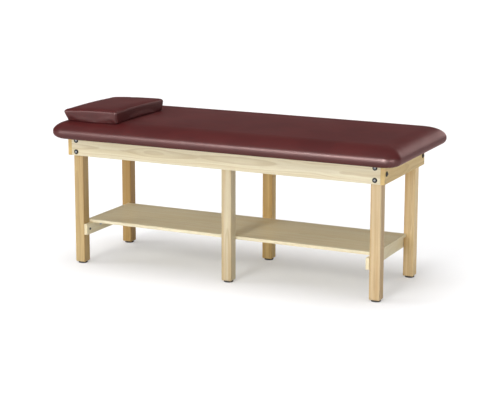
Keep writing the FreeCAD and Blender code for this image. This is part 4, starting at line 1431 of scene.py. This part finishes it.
    def finish(self, piece: bpy.types.Object) -> None:
        """Args:
            piece: the stuffed form.
        """
        smooth = piece.modifiers.new("Smooth", "SUBSURF")
        smooth.levels = 1
        shown = piece.evaluated_get(bpy.context.evaluated_depsgraph_get())
        piece.data = bpy.data.meshes.new_from_object(shown)
        piece.modifiers.clear()
        self.sew(piece)
        piece.data.materials.append(BURGUNDY_VINYL.material("pillow_vinyl"))
        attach(piece, Body.PILLOW.value)
        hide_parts("pillow_cover", "pillow_foam")
        log.info("%s: %d faces", piece.name, len(piece.data.polygons))


@dataclass(frozen=True)
class Board:
    """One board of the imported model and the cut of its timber.

    Args:
        node: the board's node.
        finish: its finish.
    """

    node: str
    finish: WoodFinish

    def dress(self) -> None:
        """Gives the board its own wood material."""
        dress([self.node], self.finish.material(self.node))


@dataclass(frozen=True)
class Stock:
    """Boards of one kind: their timber and cut, and about where the pith of each lies.

    Args:
        nodes: the boards' nodes.
        timber: the kind of timber.
        grain: how they were cut.
        depth: from a board's middle to the pith, through its thickness.
        aside: the most from a board's middle to the pith, across its face.
    """

    nodes: Sequence[str]
    timber: Timber
    grain: Grain
    depth: float
    aside: float


@dataclass
class Woodwork:
    """The frame, legs, shelf, stretchers, cross rail, dowels and the board under the padding.

    Args:
        aprons: boards along the long sides.
        end_boards: boards across the ends.
        stretchers: boards under the ends of the shelf.
        legs: each leg with the depth of its pith and the multipliers of its timber's colours: the front
            legs' own tone, painted shade on the back head and back middle legs, and painted light on the
            back foot leg.
        end_painted_shade: painted shade of the end boards: multipliers that make their colours darker and
            warmer, standing in for the shade on their faces.
        depth_spread: how far a pith's depth may vary, as a share of it.
        seeds: the range of the seeds of the boards' figures.
        draw_seed: seed of the draw.
    """

    aprons: Sequence[str] = ("front_apron", "back_apron")
    end_boards: Sequence[str] = ("head_end_board", "foot_end_board")
    stretchers: Sequence[str] = ("head_stretcher", "foot_stretcher")
    # multipliers: each leg's own tone; the back head and back middle legs are darker and warmer (painted
    # shade), the back foot leg lighter (painted light)
    legs: Sequence[tuple[str, float, Colour]] = (
        ("front_head_leg", 0.06, (0.78, 0.74, 0.58)),
        ("front_middle_leg", 0.06, (0.88, 0.98, 1.09)),
        ("front_foot_leg", 0.06, (0.86, 0.84, 0.79)),
        ("back_head_leg", 0.06, (0.74, 0.61, 0.33)),
        ("back_middle_leg", 0.06, (1.00, 0.91, 0.54)),
        ("back_foot_leg", 0.026, (1.24, 1.22, 1.08)),
    )
    # painted shade: the end boards' colours are darkened and warmed to stand in for the shade on their faces
    end_painted_shade: Colour = (0.92, 0.74, 0.42)
    depth_spread: float = 0.3
    seeds: tuple[float, float] = (2.0, 60.0)
    draw_seed: int = 11

    def stock(self) -> list[Stock]:
        """Lists the boards by kind.

        Returns:
            The kinds, in the order in which their figures are drawn.
        """
        # the end boards' timber carries painted shade
        end_timber_painted_shade = FRAME_TIMBER.shaded(*self.end_painted_shade)
        # the legs' timbers carry their own tone, with painted shade on the back head and back middle legs
        # and painted light on the back foot leg
        legs = [
            Stock([leg], LEG_TIMBER.shaded(*shade), Grain.LEG, depth, 0.02)
            for leg, depth, shade in self.legs
        ]
        return [
            Stock(self.aprons, FRAME_TIMBER, Grain.APRON, 0.06, 0.03),
            Stock(self.end_boards, end_timber_painted_shade, Grain.END_BOARD, 0.07, 0.03),
            *legs,
            Stock(["shelf_panel"], SHELF_TIMBER_PAINTED_LIGHT, Grain.SHELF, 0.09, 0.08),
            Stock(self.stretchers, SHELF_TIMBER_PAINTED_LIGHT, Grain.END_BOARD, 0.05, 0.02),
            Stock(["middle_cross_rail"], HIDDEN_TIMBER, Grain.END_BOARD, 0.05, 0.02),
            Stock(["rail_dowels"], HIDDEN_TIMBER, Grain.END_BOARD, 0.02, 0.01),
            Stock(["top_deck"], HIDDEN_TIMBER, Grain.SHELF, 0.08, 0.10),
        ]

    def boards(self) -> list[Board]:
        """Chooses the cut of each board, with a seeded draw for the place of its pith.

        Returns:
            The boards.
        """
        draw = np.random.default_rng(self.draw_seed)
        chosen: list[Board] = []
        for kind in self.stock():
            for node in kind.nodes:
                depth = kind.depth * draw.uniform(1.0 - self.depth_spread, 1.0 + self.depth_spread)
                aside = kind.aside * draw.uniform(-1.0, 1.0)
                seed = float(draw.uniform(*self.seeds))
                chosen.append(Board(node, WoodFinish(kind.timber, kind.grain, depth, aside, seed)))
        return chosen

    def dress(self) -> None:
        """Gives every board its finish."""
        for board in self.boards():
            board.dress()


@dataclass
class Fastenings:
    """Bolts, washers, nuts, nails, screws, brackets and glides.

    Args:
        long_sides: the sides whose corner bolts are bright.
        ends: the ends whose corner bolts are dark.
        dark: bolts and nails of dark steel.
        small: screws and brackets of pale steel.
    """

    long_sides: Sequence[str] = ("front_apron", "back_apron")
    ends: Sequence[str] = ("head_end", "foot_end")
    dark: Sequence[str] = (
        "head_end_bolts", "foot_end_bolts", "head_stretcher_bolts", "foot_stretcher_bolts",
        "end_board_nails",
    )
    small: Sequence[str] = (
        "middle_leg_screws", "deck_brackets", "deck_bracket_screws", "shelf_brackets",
        "shelf_bracket_screws",
    )

    def dress(self) -> None:
        """Gives every fastening its finish."""
        sides = [*self.long_sides, *self.ends]
        bright = [f"{side}_bolts" for side in self.long_sides] + [f"{side}_nuts" for side in sides]
        dress(bright, BRIGHT_STEEL.material("bolt_steel"))
        dress(self.dark, DARK_STEEL.material("dark_steel"))
        dress([f"{side}_washers" for side in sides], BLACK_PAINT.material("washer_paint"))
        dress(self.small, SMALL_STEEL.material("small_steel"))
        glides = [
            f"{side}_{place}_glide" for side in ("front", "back") for place in ("head", "middle", "foot")
        ]
        dress(glides, DARK_PLASTIC.material("glide_plastic"))


@dataclass(frozen=True)
class Lamp:
    """A soft distant lamp.

    Args:
        name: its name.
        azimuth: where it stands round the table, in degrees: 0 is in front, 90 at the foot end.
        elevation: its height above the horizon, in degrees.
        strength: the light it gives a surface that faces it.
        spread: its width as seen from the table, in degrees.
        mirrored: whether glossy surfaces show it.
        lights: whether it lights surfaces too, or only shows in glossy ones.
    """

    name: str
    azimuth: float
    elevation: float
    strength: float
    spread: float
    mirrored: bool = True
    lights: bool = True

    def build(self) -> None:
        """Adds the lamp to the scene."""
        lamp = bpy.data.lights.new(self.name, "SUN")
        lamp.energy = self.strength
        lamp.angle = math.radians(self.spread)
        made = bpy.data.objects.new(self.name, lamp)
        bpy.context.scene.collection.objects.link(made)
        around, above = math.radians(self.azimuth), math.radians(self.elevation)
        level = math.cos(above)
        towards = Vector((math.sin(around) * level, -math.cos(around) * level, math.sin(above)))
        made.rotation_mode = "QUATERNION"
        made.rotation_quaternion = towards.to_track_quat("Z", "Y")
        made.visible_glossy = self.mirrored
        made.visible_diffuse = self.lights


@dataclass(frozen=True)
class Viewpoint:
    """The camera, where the photograph was taken from.

    Args:
        place: the lens, in the table's frame.
        turn: how far it looks round from +Y towards -X, in radians.
        tilt: how far it looks down, in radians.
        roll: how far it leans, in radians.
        focal: focal length in pixels of the picture.
        sight_row: the row of the picture that the lens points at.
    """

    place: Point = (3.2404, -6.7643, 2.0468)
    turn: float = 0.4451
    tilt: float = 0.1852
    roll: float = 0.0027
    focal: float = 1445.49
    sight_row: float = 152.0

    def build(self) -> None:
        """Adds the camera and makes it the scene's."""
        camera = bpy.data.cameras.new("camera")
        camera.sensor_width = 36.0
        camera.lens = self.focal / PICTURE_WIDTH * camera.sensor_width
        camera.shift_y = (self.sight_row - PICTURE_HEIGHT / 2) / PICTURE_WIDTH
        camera.clip_end = 200.0
        ahead = np.array([
            -math.sin(self.turn) * math.cos(self.tilt),
            math.cos(self.turn) * math.cos(self.tilt),
            -math.sin(self.tilt),
        ])
        level = np.array([math.cos(self.turn), math.sin(self.turn), 0.0])
        upright = np.cross(level, ahead)
        right = level * math.cos(self.roll) + upright * math.sin(self.roll)
        up = upright * math.cos(self.roll) - level * math.sin(self.roll)
        pose = np.eye(4)
        pose[:3, :3] = np.stack([right, up, -ahead], 1)
        pose[:3, 3] = self.place
        made = bpy.data.objects.new("camera", camera)
        made.matrix_world = Matrix(pose.tolist())
        bpy.context.scene.collection.objects.link(made)
        bpy.context.scene.camera = made


@dataclass
class Studio:
    """A pale floor without end, a surround that is brighter overhead, and soft lamps.

    Args:
        floor_size: length of each side of the floor.
        floor_colour: what the floor gives back to the object.
        floor_lift: how much brighter the floor shows than its light makes it.
        low_surround: brightness of the surround near the horizon.
        high_surround: brightness of the surround overhead.
        turn_low: height of the direction, as a sine, from which the surround grows brighter.
        turn_high: height of the direction, as a sine, from which it is at its brightest.
        lamps: the lamps.
    """

    floor_size: float = 160.0
    floor_colour: Colour = (0.67, 0.67, 0.68)
    floor_lift: float = 0.30
    low_surround: float = 0.2
    high_surround: float = 0.35
    turn_low: float = 0.21
    turn_high: float = 0.87
    lamps: Sequence[Lamp] = (
        Lamp("key", azimuth=-4.0, elevation=34.0, strength=0.66, spread=12.0, mirrored=False),
        Lamp("head_fill", azimuth=-66.0, elevation=22.0, strength=0.8, spread=24.0, mirrored=False),
        Lamp("foot_fill", azimuth=76.0, elevation=12.0, strength=0.42, spread=30.0, mirrored=False),
        Lamp("overhead", azimuth=0.0, elevation=86.0, strength=2.05, spread=42.0, mirrored=False),
        Lamp("front_fill", azimuth=-8.0, elevation=7.0, strength=1.22, spread=30.0, mirrored=False),
        Lamp("front_strip", azimuth=-4.0, elevation=6.0, strength=8.6, spread=30.0, lights=False),
        Lamp("side_strip", azimuth=58.0, elevation=5.0, strength=2.6, spread=36.0, lights=False),
        Lamp("back_strip", azimuth=172.0, elevation=8.0, strength=1.0, spread=30.0, lights=False),
    )

    def build(self) -> None:
        """Builds the floor, the surround and the lamps."""
        half = self.floor_size / 2
        mesh = bpy.data.meshes.new("floor")
        corners = [(-half, -half, 0.0), (half, -half, 0.0), (half, half, 0.0), (-half, half, 0.0)]
        mesh.from_pydata(corners, [], [(0, 1, 2, 3)])
        floor = bpy.data.objects.new("floor", mesh)
        bpy.context.scene.collection.objects.link(floor)
        mesh.materials.append(self.floor_material())
        self.build_surround()
        for lamp in self.lamps:
            lamp.build()

    def seen(self, w: Wiring) -> bpy.types.NodeSocket:
        """Gives 1 for rays that show the background: straight from the camera, or by gloss or glass.

        Args:
            w: the wiring that it is placed in.

        Returns:
            The mask.
        """
        path = w.node("ShaderNodeLightPath").outputs
        mirrored = w.math("MAXIMUM", path["Is Glossy Ray"], path["Is Transmission Ray"])
        return w.math("MAXIMUM", path["Is Camera Ray"], mirrored)

    def floor_material(self) -> bpy.types.Material:
        """Makes the floor's material.

        Returns:
            A matt pale floor that shows a little brighter than it is lit, and keeps its shadows.
        """
        made, w, shader, _ = new_material("floor_paint")
        w.put(shader.inputs["Base Color"], self.floor_colour)
        shader.inputs["Roughness"].default_value = 1.0
        shader.inputs["Specular IOR Level"].default_value = 0.0
        w.put(shader.inputs["Emission Color"], (1.0, 1.0, 1.0))
        w.put(shader.inputs["Emission Strength"], w.math("MULTIPLY", self.seen(w), self.floor_lift))
        return made

    def build_surround(self) -> None:
        """Makes the surround: a plain grey that grows brighter with the height of the direction."""
        world = bpy.data.worlds.new("surround")
        world.use_nodes = True
        world.node_tree.nodes.clear()
        w = Wiring(world.node_tree)
        direction = w.node("ShaderNodeTexCoord").outputs["Generated"]
        height = w.node("ShaderNodeSeparateXYZ", {"Vector": direction}).outputs[2]
        strength = w.between(height, self.turn_low, self.turn_high, self.low_surround, self.high_surround)
        background = w.node("ShaderNodeBackground", {"Color": (1.0, 1.0, 1.0), "Strength": strength})
        w.node("ShaderNodeOutputWorld", {"Surface": background.outputs[0]})
        bpy.context.scene.world = world


def main() -> None:
    """Builds and dresses the table, the studio and the camera."""
    logging.basicConfig(level=logging.INFO, format="%(name)s: %(message)s")
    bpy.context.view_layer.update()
    bpy.context.scene.view_settings.view_transform = "Standard"
    Viewpoint().build()
    Studio().build()
    top = PaddedTop()
    top.finish(top.build())
    pillow = Pillow(top)
    pillow.finish(pillow.build())
    Woodwork().dress()
    Fastenings().dress()


if __name__ == "__main__":
    main()
